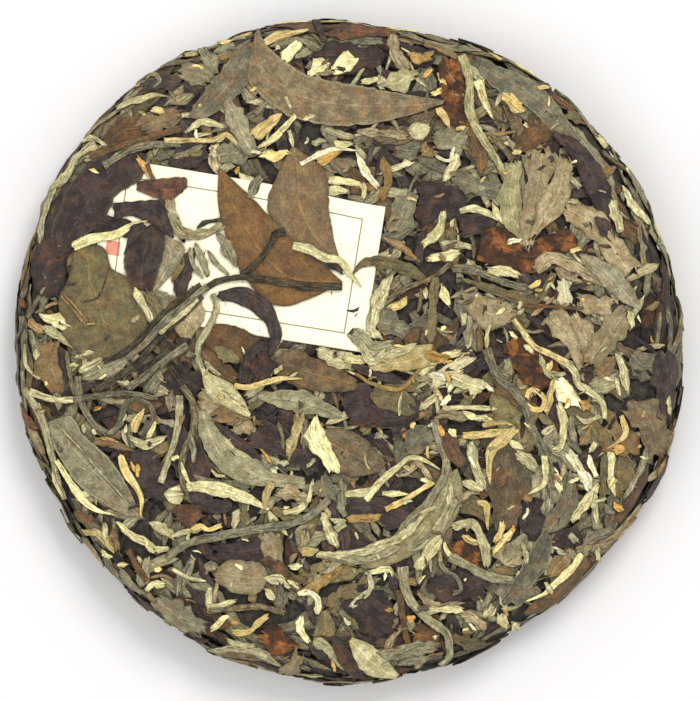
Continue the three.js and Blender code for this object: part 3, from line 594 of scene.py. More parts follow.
    ("strip", "pale", 2, [(-36, -86.5), (-28, -88)]),
    ("strip", "cream", 2.3, [(-14, -80), (-14.6, -84), (-12, -87.5)]),
    ("torn", "olive", 5, [(-6, -78), (-1, -73), (4, -71)]),
    ("torn", "beige", 5, [(-20, -97), (-15, -91)]),
    ("strip", "pale", (4, 3, 2), [(-10, -87), (-6, -90), (-1, -95)]),
    ("leaf", "maroon", 4, [(-5, -86), (1, -95), (5, -98.7)]),
    ("strip", "pale", 1.5, [(-15, -97), (-8, -98)]),
    ("strip", "pale", 3, [(-7.5, -49.2), (-5.8, -55), (-3.3, -59.2)]),
    ("stalk", "pale", 2.2, [(-4, -54), (-1, -52)]),
    # lower right
    ("strip", "pale", 2.2, [(30.5, -40), (30, -47), (25, -54)]),
    ("strip", "green", 2.6, [(32, -45), (27, -54), (19, -60)]),
    ("strip", "pale", 2.8, [(23, -49), (15, -56.5), (2, -61), (-9, -61.5)]),
    ("strip", "green", 2.4, [(15, -59), (6, -63), (-2, -62.5)]),
    ("strip", "cream", (3.6, 4.4, 4), [(27.5, -56), (24, -60), (21, -66)]),
    ("strip", "cream", 1.8, [(5, -67), (12, -66), (13, -67.5)]),
    ("strip", "white", 2, [(6, -67), (6.5, -71), (4, -74), (1, -77)]),
    ("strip", "ochre", 1.6, [(11, -78), (13, -78)]),
    ("strip", "orange", 2, [(17, -80.5), (20, -80.5)]),
    ("stalk", "brown", 2, [(15, -72), (16, -80), (18, -90)]),
    ("strip", "grey", 4, [(10, -91), (18, -90), (26, -89)]),
    ("strip", "grey", 2.4, [(15, -94), (28, -91)]),
    ("stalk", "slate", 1.5, [(27, -60), (28, -65), (32, -68), (33.5, -72), (31, -73)]),
    ("strip", "cream", 1.4, [(28.3, -57.5), (29.5, -61), (31.7, -62)]),
    ("strip", "yellow", 2, [(34, -56), (38.5, -58)]),
    ("strip", "pale", 3, [(31, -53), (37, -52), (40, -58), (41, -65)]),
    ("strip", "yellow", 2, [(46, -52), (44, -58)]),
    ("strip", "yellow", 2, [(49, -54), (43, -61)]),
    ("strip", "tan", 2.6, [(44, -66), (49, -67)]),
    ("stalk", "green", 2.8, [(30, -62), (36, -65), (42, -68), (49, -69)]),
    ("strip", "beige", 2.5, [(21, -73), (26, -77), (34, -76)]),
    ("strip", "pale", 2, [(22, -79), (34, -78)]),
    ("strip", "pale", 3, [(41, -80), (43, -77)]),
    ("strip", "cream", 3, [(45, -79), (47, -83)]),
    ("strip", "cream", 2.6, [(49, -82), (51, -85)]),
    ("strip", "white", 1.2, [(36, -82), (38, -84)]),
    ("strip", "yellow", 1.2, [(34, -84), (36, -84)]),
    ("leaf", "tan", 5, [(65, -61), (60, -68)]),
    ("leaf", "brown", 7, [(71, -62), (62, -73), (53, -80)]),
    ("bud", "cream", 2.2, [(69, -61), (66, -65), (62, -69), (58, -73), (53, -75)]),
    ("strip", "cream", 1.8, [(73, -59), (74, -63)]),
    ("strip", "red", 1.8, [(71.5, -61), (72.5, -63)]),
    ("strip", "yellow", 2, [(80, -57), (83, -56)]),
    ("strip", "green", 2, [(66, -55), (68, -58)]),
    ("strip", "pale", 1.4, [(52, -58), (53, -64)]),
    (
        "stalk", "green", (3.2, 2.8, 2.4),
        [
            (16, -65), (16.5, -71), (19, -76), (24, -81), (29, -84.5), (30, -88), (29.5, -92),
            (27, -94),
        ],
    ),
    # laid last, on top of all
    ("stalk", "pale", 2.1, [(-94.2, -12.5), (-90, -14.5), (-86, -15.5), (-80, -15)]),
    ("stalk", "slate", 1.9, [(-82, -15.2), (-76, -14.3), (-68, -13.2), (-62, -13.8), (-57, -15)]),
    (
        "stalk", "bark", (2.6, 2, 1.9, 2.1),
        [(-19, 34.8), (-21.6, 34.2), (-23.1, 31.4), (-26.1, 26.9), (-29.1, 23.9), (-32, 21.8)],
    ),
    ("torn", "plum", 2.4, [(-14, 29.5), (-8, 26.5), (-2, 23)]),
    (
        "stalk", "bark", (2.6, 2.1, 2.1, 2.2),
        [
            (-2, 18.2), (-11, 18.2), (-17.8, 19.3), (-26.9, 20.9), (-33.6, 21.2), (-39.7, 19.7),
            (-44.9, 16.3),
        ],
    ),
    ("stalk", "bark", 2, [(-44, 19), (-51, 14), (-57, 8.5), (-62, 3), (-68, -2), (-73, -4)]),
    (
        "stalk", "slate", (2.2, 2.4, 2.2),
        [(-42, 18.6), (-44.9, 16.3), (-50.2, 11.8), (-55.5, 7.3), (-60, 2), (-66, -3)],
    ),
    ("stalk", "bark", 1.8, [(-43.5, 15.5), (-49, 10), (-55, 4.5), (-62, -3), (-69, -9)]),
    ("strip", "pale", 1.4, [(-45, 14.5), (-50, 9.8), (-56, 4.5)]),
    (
        "bud", "pale", (2.8, 3, 2.8, 2),
        [(-16.3, 30.6), (-11.8, 29.5), (-7.3, 26.9), (-2.8, 26.1), (0.2, 22.4), (3.6, 18.6)],
    ),
    ("bud", "cream", 2.5, [(-6, 50), (5, 48.5)]),
    ("strip", "cream", 1.8, [(4.5, 49), (4.5, 44.5)]),
]

# Broad leaves by their two sides: tone, places along one side, along the other
# side from the same end.
LOWER_BROAD_LEAVES = [
    (
        "beige",
        [(-39.2, -65), (-34.2, -62.9), (-25.8, -64.2), (-24.2, -67.5)],
        [(-40, -69.2), (-35, -72.5), (-27.5, -73.3), (-24, -69)],
    ),
    ("olive", [(-7, -77), (-5, -80), (-4, -83), (-4, -86)], [(-7, -77), (-9, -80), (-10, -83), (-11, -86)]),
    ("pale", [(1, -86), (6, -88), (11, -92), (15, -97)], [(0, -88), (2, -93), (6, -97), (14, -98.5)]),
]
UPPER_BROAD_LEAVES = [
    # round the ticket and over it
    (
        "olive",
        [(-81, 31), (-73, 30.3), (-71, 24), (-66, 21), (-62, 15), (-60, 7), (-63, -1), (-71, -5)],
        [(-82, 30), (-83, 25), (-84, 20), (-86.5, 15), (-86, 6), (-82, 0), (-77, -4), (-74, -5)],
    ),
    (
        "plum",
        [(-60, 58), (-61, 52), (-64, 49), (-69, 46), (-71, 42), (-73, 38), (-78, 34), (-82, 30)],
        [(-67, 60), (-72, 59), (-79, 53), (-84, 46), (-86, 42), (-88, 37), (-88.5, 32), (-87, 27)],
    ),
    (
        "mulberry",
        [(-63, 50), (-57, 50.5), (-49, 51), (-48, 48.5)],
        [(-63, 47), (-57, 44.5), (-54, 43.3), (-50, 46.5)],
    ),
    ("ash", [(-63, 20), (-57, 18), (-51, 15), (-48, 13)], [(-63, 13), (-59, 9), (-54, 7), (-49, 8)]),
    ("plum", [(-74, 40), (-68, 39), (-62, 37)], [(-76, 35), (-70, 33.5), (-63, 33)]),
    ("beige", [(-44, 14.5), (-43, 9), (-47, 3)], [(-50, 12), (-52, 7), (-50.5, 3.5)]),
    (
        "grey",
        [(-56.3, 33.7), (-49.5, 31), (-50, 26), (-55, 19.5), (-58, 17)],
        [(-57, 32), (-57, 27), (-57.5, 22), (-58, 20), (-58.5, 18)],
    ),
    ("plum", [(-46, 30), (-46, 25), (-48, 18), (-50, 15)], [(-49, 28), (-52, 21.5), (-52.5, 18), (-51, 15)]),
    ("plum", [(-56, 38), (-54.5, 32), (-56, 25), (-58.5, 17)], [(-62, 35), (-66, 31), (-67, 25), (-65, 18)]),
    (
        "plum",
        [(-70.3, 43.3), (-62, 44), (-54.5, 43.5), (-52, 33)],
        [(-69.5, 38), (-65, 39.5), (-58, 36.5), (-54, 33.5)],
    ),
    (
        "brown",
        [(-41.5, 7.5), (-35, 7), (-27, 3.5), (-26, 0)],
        [(-43.8, 3), (-41, -0.5), (-37, -2), (-31.5, -5)],
    ),
    (
        "second_leaf",
        [(-16, 60), (-9, 55), (-6.2, 50), (-5.8, 42), (-4.5, 33), (-2.8, 27)],
        [(-17, 60), (-20, 54.5), (-24, 45), (-23, 39), (-15, 30.5), (-4, 27.3)],
    ),
    (
        "ticket_leaf",
        [(-38.5, 54), (-32.9, 48.7), (-24, 40), (-14.8, 30), (-7.3, 24.6), (-2, 20)],
        [
            (-38.7, 53), (-39.1, 45.7), (-38.2, 39), (-33.3, 24.6), (-26, 15.5), (-19, 12.6),
            (-10, 15.5), (-2, 19.5),
        ],
    ),
    # the top and the right
    (
        "ash",
        [(-31.4, 90.4), (-37.1, 84.3), (-45.7, 72.9), (-47.9, 69.3)],
        [(-27.5, 85.4), (-30.7, 78), (-37.9, 71.4), (-44.3, 67.9)],
    ),
    (
        "brown_grey",
        [
            (-27.5, 97), (-24.3, 90), (-15, 82.9), (-9.3, 80.7), (0, 78.9), (8.3, 77.5),
            (16.7, 75.8), (28.5, 74),
        ],
        [
            (-28.6, 90.7), (-30, 80), (-25, 74.3), (-17.9, 69.3), (-12, 67.5), (0, 66.4),
            (16.7, 69.2), (28, 73),
        ],
    ),
    (
        "slate",
        [(39, 86), (48, 82.5), (55, 78.5), (61, 73.5), (66, 67), (69, 62)],
        [(38.5, 82), (45, 76.5), (51, 73.5), (56, 69.5), (60, 65), (63.5, 61.5)],
    ),
    (
        "plum",
        [(61, 65), (68.5, 61.5), (74.3, 55), (78, 47), (79, 38)],
        [(61, 63), (65, 59), (68, 54), (70.7, 47), (76, 38)],
    ),
    (
        "rust",
        [(39.2, 30.8), (40, 35), (45.8, 36.3), (52.9, 32), (60, 34.2), (65, 36), (68.3, 32.5)],
        [(38.3, 26.3), (42, 25), (45.8, 24.2), (55, 22.5), (63.3, 27.5), (67.5, 30.4), (68, 31.5)],
    ),
    # left of the middle and below it
    (
        "green",
        [(-45.5, -17), (-44.5, -26), (-40, -34.5), (-33, -39.5), (-25, -41), (-13, -42)],
        [(-43, -18), (-38.5, -24), (-34.5, -31.5), (-27, -33), (-24, -36.5), (-13, -38.5)],
    ),
    (
        "grey",
        [(-87.5, -21), (-82.5, -20.5), (-79, -26), (-73, -31), (-69, -36), (-65, -43), (-62.5, -49)],
        [(-89, -22), (-88, -28), (-85.5, -33.5), (-81, -40), (-75, -45), (-68, -49), (-63, -50)],
    ),
    (
        "olive_brown",
        [(-22, -3), (-16, 0), (-10, -3), (-4, -5), (2, -9)],
        [(-23, -7), (-16, -11), (-10, -12.5), (-4, -13), (2, -12.5)],
    ),
    ("brown_grey", [(-8, -24), (-1, -24), (5, -27), (11, -34)], [(-8, -28), (-6, -35), (1, -38), (9, -37)]),
    (
        "sage",
        [(32.5, -36), (34, -42), (32, -50), (27, -56.5), (20, -61), (11, -65), (5, -65.3)],
        [(28, -38), (25.5, -41), (22, -46), (17, -50.5), (12.5, -56.5), (6, -58.8), (-3, -61), (-11, -62)],
    ),
]

# Leaves laid by rule: how many, their lengths and widths, how far from the middle
# they lie, how far they stray from the run of the rim in radians, how coarse they
# are, and the kinds and tones that are drawn from. ANY_HEADING is far more than a
# full turn, so those lie in any direction.
ANY_HEADING = 9.0
MIXED_LEAVES = ["torn", "torn", "scrap", "strip"]
TOP_FILLER = dict(
    count=330, length=(12, 28), width=(3.5, 9), reach=(0, 93), stray=ANY_HEADING, coarse=1.5,
    kinds=MIXED_LEAVES, tones=DARK_TONES,
)
TOP_SHREDS = dict(
    count=700, length=(3.5, 12), width=(1.1, 4), reach=(0, 94), stray=ANY_HEADING, coarse=1.5,
    kinds=["scrap", "scrap", "strip"], tones=SHRED_TONES,
)
TOP_CRUMBS = dict(
    count=260, length=(1.0, 4.0), width=(0.6, 1.8), reach=(0, 95), stray=ANY_HEADING, coarse=0.6,
    kinds=["scrap", "strip"], tones=CRUMB_TONES,
)
RIM_FILLER = dict(
    count=330, length=(14, 34), width=(2.6, 7.5), reach=(90, 122), stray=0.28, coarse=1.5,
    kinds=["torn", "scrap", "strip", "strip"], tones=RIM_TONES,
)
RIM_STRIPS = dict(
    count=170, length=(8, 26), width=(1.4, 3.6), reach=(91, 119), stray=0.35, coarse=1.4,
    kinds=["strip", "strip", "bud", "stalk"], tones=RIM_TONES,
)
UNDER_FILLER = dict(
    count=420, length=(14, 32), width=(4, 10), reach=(0, 95), stray=ANY_HEADING, coarse=1.6,
    kinds=MIXED_LEAVES, tones=UNDER_TONES,
)
UNDER_STRIPS = dict(
    count=170, length=(8, 24), width=(1.6, 3.8), reach=(0, 93), stray=ANY_HEADING, coarse=1.5,
    kinds=["strip", "bud", "stalk"], tones=UNDER_TONES,
)

# Short pieces are narrower: the width grows with the length. A piece's middle
# line bends by up to a share of its length.
SHORT_WIDTH = 0.55
LENGTH_WIDTH = 0.45
MOST_BEND = 0.12

# How far pieces are kept clear of the ticket, and how high the ticket and the
# broad leaves ride on what is under them.
CRUMB_CLEARANCE = 1.5
HIDDEN_UNDER_TICKET = -3.0
TICKET_LIFT = 0.5
BROAD_LEAF_LIFT = 0.3
BROAD_LEAF_ROWS = 36

# Light and dark pieces: the spread of their shade, and its limits.
RULE_SPREAD = 0.12
NAMED_SPREAD = 0.07
RIM_LEVEL = 0.82
SHADE_LIMITS = (0.7, 1.25)

# How pale a piece's edge is drawn; below 0 it has none.
PALE_EDGES = (-0.8, 1)

SEED = 357
draws = np.random.default_rng(SEED)

# ---- Middle lines and outlines ---------------------------------------------------

# The bed is a square grid of heights over the chart.
CELL = 0.4
GRID_REACH = 124.0
GRID_CELLS = int(2 * GRID_REACH / CELL)
BED_MARGIN = 10
MOST_SINKING = 0.06
SETTLING_ROUNDS = 3
EDGE_BLUR = 2
BARE_BELOW = 0.05
FEWEST_COLUMNS = 3
FEWEST_ROWS = 8
TINY = 1e-6

# A piece's rows of corners, from its width.
ROW_SHARE = 0.26
CLOSEST_ROWS = 1.0
WIDEST_ROWS = 1.5
SLIGHT_BEND = 0.07

# Places seen from above lie at most this share of the rim's round out.
STEEPEST_SHARE = 0.97
SAMPLES_A_SPAN = 12
ROUGH_SAMPLES = 30

# The underside's leaves stay just clear of the floor, and none sinks deeper
# into the core than LOWEST_LIFT.
FLOOR_GAP = 0.03
LOWEST_LIFT = -0.5


def outline_scale(angle):
    """The outline's distance from the centre, as a share of a round cake's."""
    radius = CORE_RADIUS + sum(
        height * np.cos(lobes * (angle - math.radians(crest))) for lobes, height, crest in OUTLINE_SWELLS
    )
    return radius / CORE_RADIUS


def from_above(points):
    """Turns points of the view from above into places on the cake."""
    points = np.asarray(points, float)
    angle = np.arctan2(points[:, 1], points[:, 0])
    distance = np.hypot(points[:, 0], points[:, 1]) / outline_scale(angle)
    share = np.clip((distance - SHOULDER) / RIM_ROUND, 0, STEEPEST_SHARE)
    girth = np.where(distance > SHOULDER, SHOULDER + RIM_ROUND * np.arcsin(share), distance)
    return np.stack([girth * np.cos(angle), girth * np.sin(angle)], 1)


def smooth_line(points, count):
    """Evenly spaced places on a smooth line through the given points."""
    points = np.asarray(points, float)
    if len(points) > 2:
        padded = np.vstack([2 * points[0] - points[1], points, 2 * points[-1] - points[-2]])
        share = np.linspace(0, 1, SAMPLES_A_SPAN, endpoint=False)[:, None]
        spans = []
        for index in range(1, len(padded) - 2):
            before, start, end, after = padded[index - 1:index + 3]
            spans.append(0.5 * (
                2 * start
                + (end - before) * share
                + (2 * before - 5 * start + 4 * end - after) * share ** 2
                + (3 * start - before - 3 * end + after) * share ** 3
            ))
        points = np.vstack(spans + [points[-1:]])
    steps = np.hypot(*np.diff(points, axis=0).T)
    travelled = np.concatenate([[0], np.cumsum(steps)])
    wanted = np.linspace(0, travelled[-1], count)
    return np.stack([np.interp(wanted, travelled, points[:, axis]) for axis in (0, 1)], 1)


def width_shape(kind, share):
    """The width along a piece, as a share of its greatest."""
    if kind in ("leaf", "torn"):
        is_whole = kind == "leaf"
        cut = draws.uniform(*(LEAF_CUT if is_whole else TORN_CUT), 2)
        part = cut[0] + (1 - cut.sum()) * share
        shape = np.sin(math.pi * part) ** (LEAF_FULLNESS if is_whole else TORN_FULLNESS)
    elif kind == "scrap":
        shape = 1 - SCRAP_TAPER * np.abs(2 * share - 1) ** draws.uniform(*TAPER_POWER)
    elif kind == "strip":
        taper = np.where(share < 0.5, draws.uniform(*STRIP_TAPER), draws.uniform(*STRIP_TAPER))
        shape = 1 - taper * np.abs(2 * share - 1) ** draws.uniform(*TAPER_POWER)
    elif kind == "bud":
        part = (BUD_FROM + BUD_SPAN * share) ** BUD_LEAN
        shape = np.clip(np.sin(math.pi * part), BUD_THINNEST, 1) ** BUD_FULLNESS
    else:
        shape = 1 - STALK_TAPER * share
    uneven = KINDS[kind]["uneven"]
    starts = draws.uniform(0, 2 * math.pi, 2)
    ripple = sum(part * np.sin(turns * share + start) for (part, turns), start in zip(UNEVEN_WAVES, starts))
    return shape * (1 + uneven * ripple)


def line_length(points):
    return np.hypot(*np.diff(points, axis=0).T).sum()


class Piece:
    """One leaf, stalk or bud: its middle line, and the vector from it to one side."""

    def __init__(self, kind, tone, middle, side, width=None):
        self.kind = kind
        self.tone = tone
        self.lift = 0.0
        self.middle = middle
        self.side = side
        self.width = 2 * np.hypot(*side.T).max() if width is None else width
        self.form = dict(KINDS[kind])
        if self.form["plump"] > 0:
            self.form["thickness"] = min(self.form["thickness"], THICKEST_SHARE * self.width)
        for relief in ("wave", "curl", "pleat"):
            self.form[relief] *= min(1, self.width / FULL_RELIEF_WIDTH + LEAST_RELIEF)
        self.form["torn"] *= min(1, FULL_TEAR_WIDTH / self.width)
        self.form["folds"] = np.clip(self.width / FOLD_WIDTH, FEWEST_FOLDS, MOST_FOLDS)
        self.form["ends"] *= min(self.width, WIDEST_RAGGED_END)

    def length(self):
        return line_length(self.middle)


def spacing_for(width):
    """How far apart the rows of corners are along a piece."""
    return np.clip(ROW_SHARE * width, CLOSEST_ROWS, WIDEST_ROWS)


def piece_along(kind, tone, width, points, coarse=1.0, is_seen_from_above=True):
    """A piece from the places that its middle line passes through."""
    places = from_above(points) if is_seen_from_above else np.asarray(points, float)
    widest = np.max(width)
    if len(places) == 2:
        along = places[1] - places[0]
        bend = draws.uniform(-SLIGHT_BEND, SLIGHT_BEND)
        middle_point = places.mean(0) + bend * np.array([-along[1], along[0]])
        places = np.array([places[0], middle_point, places[1]])
    length = line_length(smooth_line(places, ROUGH_SAMPLES))
    rows = max(4, int(length / (coarse * spacing_for(widest))))
    middle = smooth_line(places, rows + 1)
    share = np.linspace(0, 1, rows + 1)
    heading = np.gradient(middle, axis=0)
    heading /= np.maximum(np.hypot(*heading.T), TINY)[:, None]
    across = np.stack([-heading[:, 1], heading[:, 0]], 1)
    widths = np.interp(share, np.linspace(0, 1, np.size(width)), np.atleast_1d(width))
    half = 0.5 * widths * width_shape(kind, share)
    sway = KINDS[kind]["uneven"] * draws.uniform(0.4, 1)
    sway = sway * np.sin(SWAY_TURNS * share + draws.uniform(0, 2 * math.pi))
    middle = middle + across * (half * sway)[:, None]
    return Piece(kind, tone, middle, across * half[:, None], width=widest)


def broad_leaf(tone, one_side, other_side):
    """A leaf from the places that its two sides pass through."""
    left = smooth_line(from_above(one_side), BROAD_LEAF_ROWS + 1)
    right = smooth_line(from_above(other_side), BROAD_LEAF_ROWS + 1)
    piece = Piece("leaf", tone, 0.5 * (left + right), 0.5 * (left - right))
    piece.lift = BROAD_LEAF_LIFT
    return piece


def pieces_by_rule(rule):
    """Seeded leaves, spread evenly over a ring of the chart."""
    pieces = []
    near, far = rule["reach"]
    for _ in range(rule["count"]):
        girth = math.sqrt(draws.uniform(near ** 2, far ** 2))
        angle = draws.uniform(0, 2 * math.pi)
        length = draws.uniform(*rule["length"])
        width_share = min(1, SHORT_WIDTH + LENGTH_WIDTH * length / rule["length"][1])
        width = draws.uniform(*rule["width"]) * width_share
        heading = angle + math.pi / 2 + draws.normal(0, rule["stray"])
        bend = draws.uniform(-MOST_BEND, MOST_BEND) * length
        middle = np.array([girth * math.cos(angle), girth * math.sin(angle)])
        if girth > SHOULDER:
            # on the chart, a piece along the rim is an arc round the middle
            bend -= 0.5 * length ** 2 / (4 * girth)
        reach = 0.5 * length * np.array([math.cos(heading), math.sin(heading)])
        off = bend * np.array([-math.sin(heading), math.cos(heading)])
        points = [middle - reach, middle - off, middle + reach]
        kind = rule["kinds"][draws.integers(len(rule["kinds"]))]
        tone = rule["tones"][draws.integers(len(rule["tones"]))]
        pieces.append(piece_along(kind, tone, width, points, rule["coarse"], is_seen_from_above=False))
    return pieces


# ---- Laying the pieces on each other ---------------------------------------------


def box_blur(field, radius):
    """A running mean over a square, done twice for a round falloff."""
    size = 2 * radius + 1
    for _ in range(2):
        for axis in (0, 1):
            padding = [(0, 0), (0, 0)]
            padding[axis] = (radius + 1, radius)
            summed = np.cumsum(np.pad(field, padding), axis=axis)
            ahead = np.take(summed, range(size, summed.shape[axis]), axis=axis)
            behind = np.take(summed, range(0, summed.shape[axis] - size), axis=axis)
            field = (ahead - behind) / size
    return field


def spread_max(field, cells):
    """The highest value within a square round each cell."""
    for axis in (0, 1):
        padding = [(0, 0), (0, 0)]
        padding[axis] = (cells, cells)
        padded = np.pad(field, padding, mode="edge")
        count = field.shape[axis]
        shifts = [np.take(padded, range(shift, shift + count), axis=axis) for shift in range(2 * cells + 1)]
        field = np.maximum.reduce(shifts)
    return field


class Bed:
    """The height of all that has been laid so far, over the chart."""

    def __init__(self):
        self.height = np.zeros((GRID_CELLS, GRID_CELLS))

    def lay(self, piece):
        """Finds the surface that the piece rests on, then adds the piece to the bed."""
        columns = max(FEWEST_COLUMNS, int(piece.width / CELL) * 2 + 1)
        rows = max(FEWEST_ROWS, int(piece.length() / CELL) * 2)
        share = np.linspace(0, 1, rows)
        known = np.linspace(0, 1, len(piece.middle))
        middle, side = (
            np.stack([np.interp(share, known, line[:, axis]) for axis in (0, 1)], 1)
            for line in (piece.middle, piece.side)
        )
        across = np.linspace(-1, 1, columns)
        places = (middle[:, None] + across[None, :, None] * side[:, None]).reshape(-1, 2)
        cells = np.clip(((places + GRID_REACH) / CELL).astype(int), 0, GRID_CELLS - 1)
        low = np.maximum(cells.min(0) - BED_MARGIN, 0)
        high = np.minimum(cells.max(0) + BED_MARGIN + 1, GRID_CELLS)
        window = self.height[low[1]:high[1], low[0]:high[0]]
        mask = np.zeros(window.shape)
        mask[cells[:, 1] - low[1], cells[:, 0] - low[0]] = 1
        radius = max(1, int(piece.form["stiff"] / CELL))
        weight = box_blur(mask, radius) + TINY
        lifted = spread_max(window, 1)
        rest = lifted
        for _ in range(SETTLING_ROUNDS):
            rest = np.maximum(box_blur(rest * mask, radius) / weight, lifted - MOST_SINKING)
        beside = box_blur(rest * mask, EDGE_BLUR) / (box_blur(mask, EDGE_BLUR) + TINY)
        rest = np.where(mask > 0, rest, beside)
        rest = np.where((mask > 0) | (rest > BARE_BELOW), rest, window)
        rest = rest + piece.lift
        piece.rest = (low, rest)
        profile = np.sqrt(np.clip(1 - across ** 2 * piece.form["plump"], 0, 1))
        added = np.zeros(window.shape)
        added[cells[:, 1] - low[1], cells[:, 0] - low[0]] = (
            piece.form["thickness"] * np.broadcast_to(profile, (rows, columns)).reshape(-1)
        )
        window[mask > 0] = np.maximum(window, rest + added)[mask > 0]


def rest_height(piece, places):
    """The height of what a piece rests on, at any places under it."""
    low, surface = piece.rest
    spots = (places + GRID_REACH) / CELL - 0.5 - low
    rows, columns = surface.shape
    spots = np.clip(spots, 0, [columns - 1.001, rows - 1.001])
    cell = spots.astype(int)
    part = spots - cell
    column, row = cell[:, 0], cell[:, 1]
    upper = surface[row + 1, column] * (1 - part[:, 0]) + surface[row + 1, column + 1] * part[:, 0]
    lower = surface[row, column] * (1 - part[:, 0]) + surface[row, column + 1] * part[:, 0]
    return lower * (1 - part[:, 1]) + upper * part[:, 1]


def dome_height(radius):
    return 2 * RIM_ROUND + DOME_RISE * (1 - (radius / SHOULDER) ** 2)


def dimple_height(radius):
    inside = np.minimum(radius / DIMPLE_RADIUS, 1)
    return DIMPLE_DEPTH * np.cos(0.5 * math.pi * inside) ** 2


def on_cake(places, lift, is_underside=False):
    """Metres in the frame, from chart places and heights above the bare core."""
    girth = np.hypot(places[:, 0], places[:, 1])
    angle = np.arctan2(places[:, 1], places[:, 0])
    # the angle gone round the rim
    past = np.clip((girth - SHOULDER) / RIM_ROUND, 0, math.pi)
    radius = np.minimum(girth, SHOULDER)
    on_rim = past > 0
    if is_underside:
        height = np.where(on_rim, RIM_ROUND * (1 - np.cos(past)), dimple_height(radius))
        upward = -np.cos(past)
        outward = np.where(on_rim, np.sin(past), 0)
    else:
        height = np.where(on_rim, RIM_ROUND * (1 + np.cos(past)), dome_height(radius))
        slope = 2 * DOME_RISE * radius / SHOULDER ** 2
        outward = np.where(on_rim, np.sin(past), slope)
        upward = np.where(on_rim, np.cos(past), 1)
        steepness = np.hypot(outward, upward)
        outward, upward = outward / steepness, upward / steepness
    radius = radius + RIM_ROUND * np.sin(past) + outward * lift
    reach = radius * outline_scale(angle)
    return MM * np.stack(
        [
            reach * np.cos(angle) + CENTRING[0],
            reach * np.sin(angle) + CENTRING[1],
            np.maximum(height + upward * lift, FLOOR_GAP),
        ],
        1,
    )


def pressed(height, limit):
    """Squeezes heights towards a limit without changing their order."""
    return limit * (1 - np.exp(-height / limit))


# ---- Node trees ------------------------------------------------------------------


def put(tree, kind, inputs=(), **settings):
    """Adds a node. Its inputs are sockets to link or values to set, by name or index."""
    made = tree.nodes.new(kind)
    for name, value in settings.items():
        setattr(made, name, value)
    for key, value in dict(inputs).items():
        if isinstance(value, bpy.types.NodeSocket):
            tree.links.new(value, made.inputs[key])
        else:
            made.inputs[key].default_value = value
    return made


def calc(tree, operation, *values):
    return put(tree, "ShaderNodeMath", dict(enumerate(values)), operation=operation).outputs[0]


def vector_calc(tree, operation, *values):
    return put(tree, "ShaderNodeVectorMath", dict(enumerate(values)), operation=operation).outputs[0]


def scaled(tree, vector, factor):
    return put(tree, "ShaderNodeVectorMath", {0: vector, "Scale": factor}, operation="SCALE").outputs[0]


def blended(tree, factor, one, other, is_colour=False):
    first, second, result = (6, 7, 2) if is_colour else (2, 3, 0)
    inputs = {0: factor, first: one, second: other}
    return put(tree, "ShaderNodeMix", inputs, data_type="RGBA" if is_colour else "FLOAT").outputs[result]


def ranged(tree, value, low, high, to_low=0.0, to_high=1.0):
    return put(tree, "ShaderNodeMapRange", {0: value, 1: low, 2: high, 3: to_low, 4: to_high}).outputs[0]


def combined(tree, x=0.0, y=0.0, z=0.0):
    return put(tree, "ShaderNodeCombineXYZ", {0: x, 1: y, 2: z}).outputs[0]


def noise(tree, spot, detail=2.0, scale=1.0, roughness=0.5):
    inputs = {"Vector": spot, "Scale": scale, "Detail": detail, "Roughness": roughness}
    return put(tree, "ShaderNodeTexNoise", inputs).outputs[0]


def swing(tree, noise_value, size, gain):
    """Noise turned into a swing to both sides of zero."""
    centred = calc(tree, "SUBTRACT", noise_value, 0.5)
    return calc(tree, "MULTIPLY", centred, calc(tree, "MULTIPLY", size, gain))


def product(tree, first, *others):
    for other in others:
        first = calc(tree, "MULTIPLY", first, other)
    return first


def named(tree, name, data_type="FLOAT"):
    return put(tree, "GeometryNodeInputNamedAttribute", {"Name": name}, data_type=data_type).outputs[0]


def stored(tree, geometry, name, value, data_type="FLOAT", domain="POINT"):
    made = put(
        tree,
        "GeometryNodeStoreNamedAttribute",
        {"Geometry": geometry, "Name": name},
        data_type=data_type,
        domain=domain,
    )
    tree.links.new(value, made.inputs["Value"])
    return made.outputs[0]


SWEEP_INPUTS = [
    # name, kind of socket, usual value
    ("Corners round", "NodeSocketInt", 16),
    ("Ripple spacing", "NodeSocketFloat", 5.0),
    ("Tear spacing", "NodeSocketFloat", 1.9),
    ("Fold depth", "NodeSocketFloat", 1.0),
    ("Seed", "NodeSocketInt", SEED),
    ("Material", "NodeSocketMaterial", None),
]
# How strongly noise tears the sides and ends and ripples the face; how close and
# how near the end the ends' tears are; how square a flat section is; and what
# keeps one piece's noise and its map apart from the next one's.
TEAR_GAIN = 4.0
RIPPLE_GAIN = 3.0
END_TEARS = 2.6
END_SHARPNESS = 5.0
CURL_SHARPNESS = 2.0
FLAT_SECTION = 0.3
ROUND_SECTION = 1.0
SEED_STEP = 7.31
MAP_STEP = 3.0


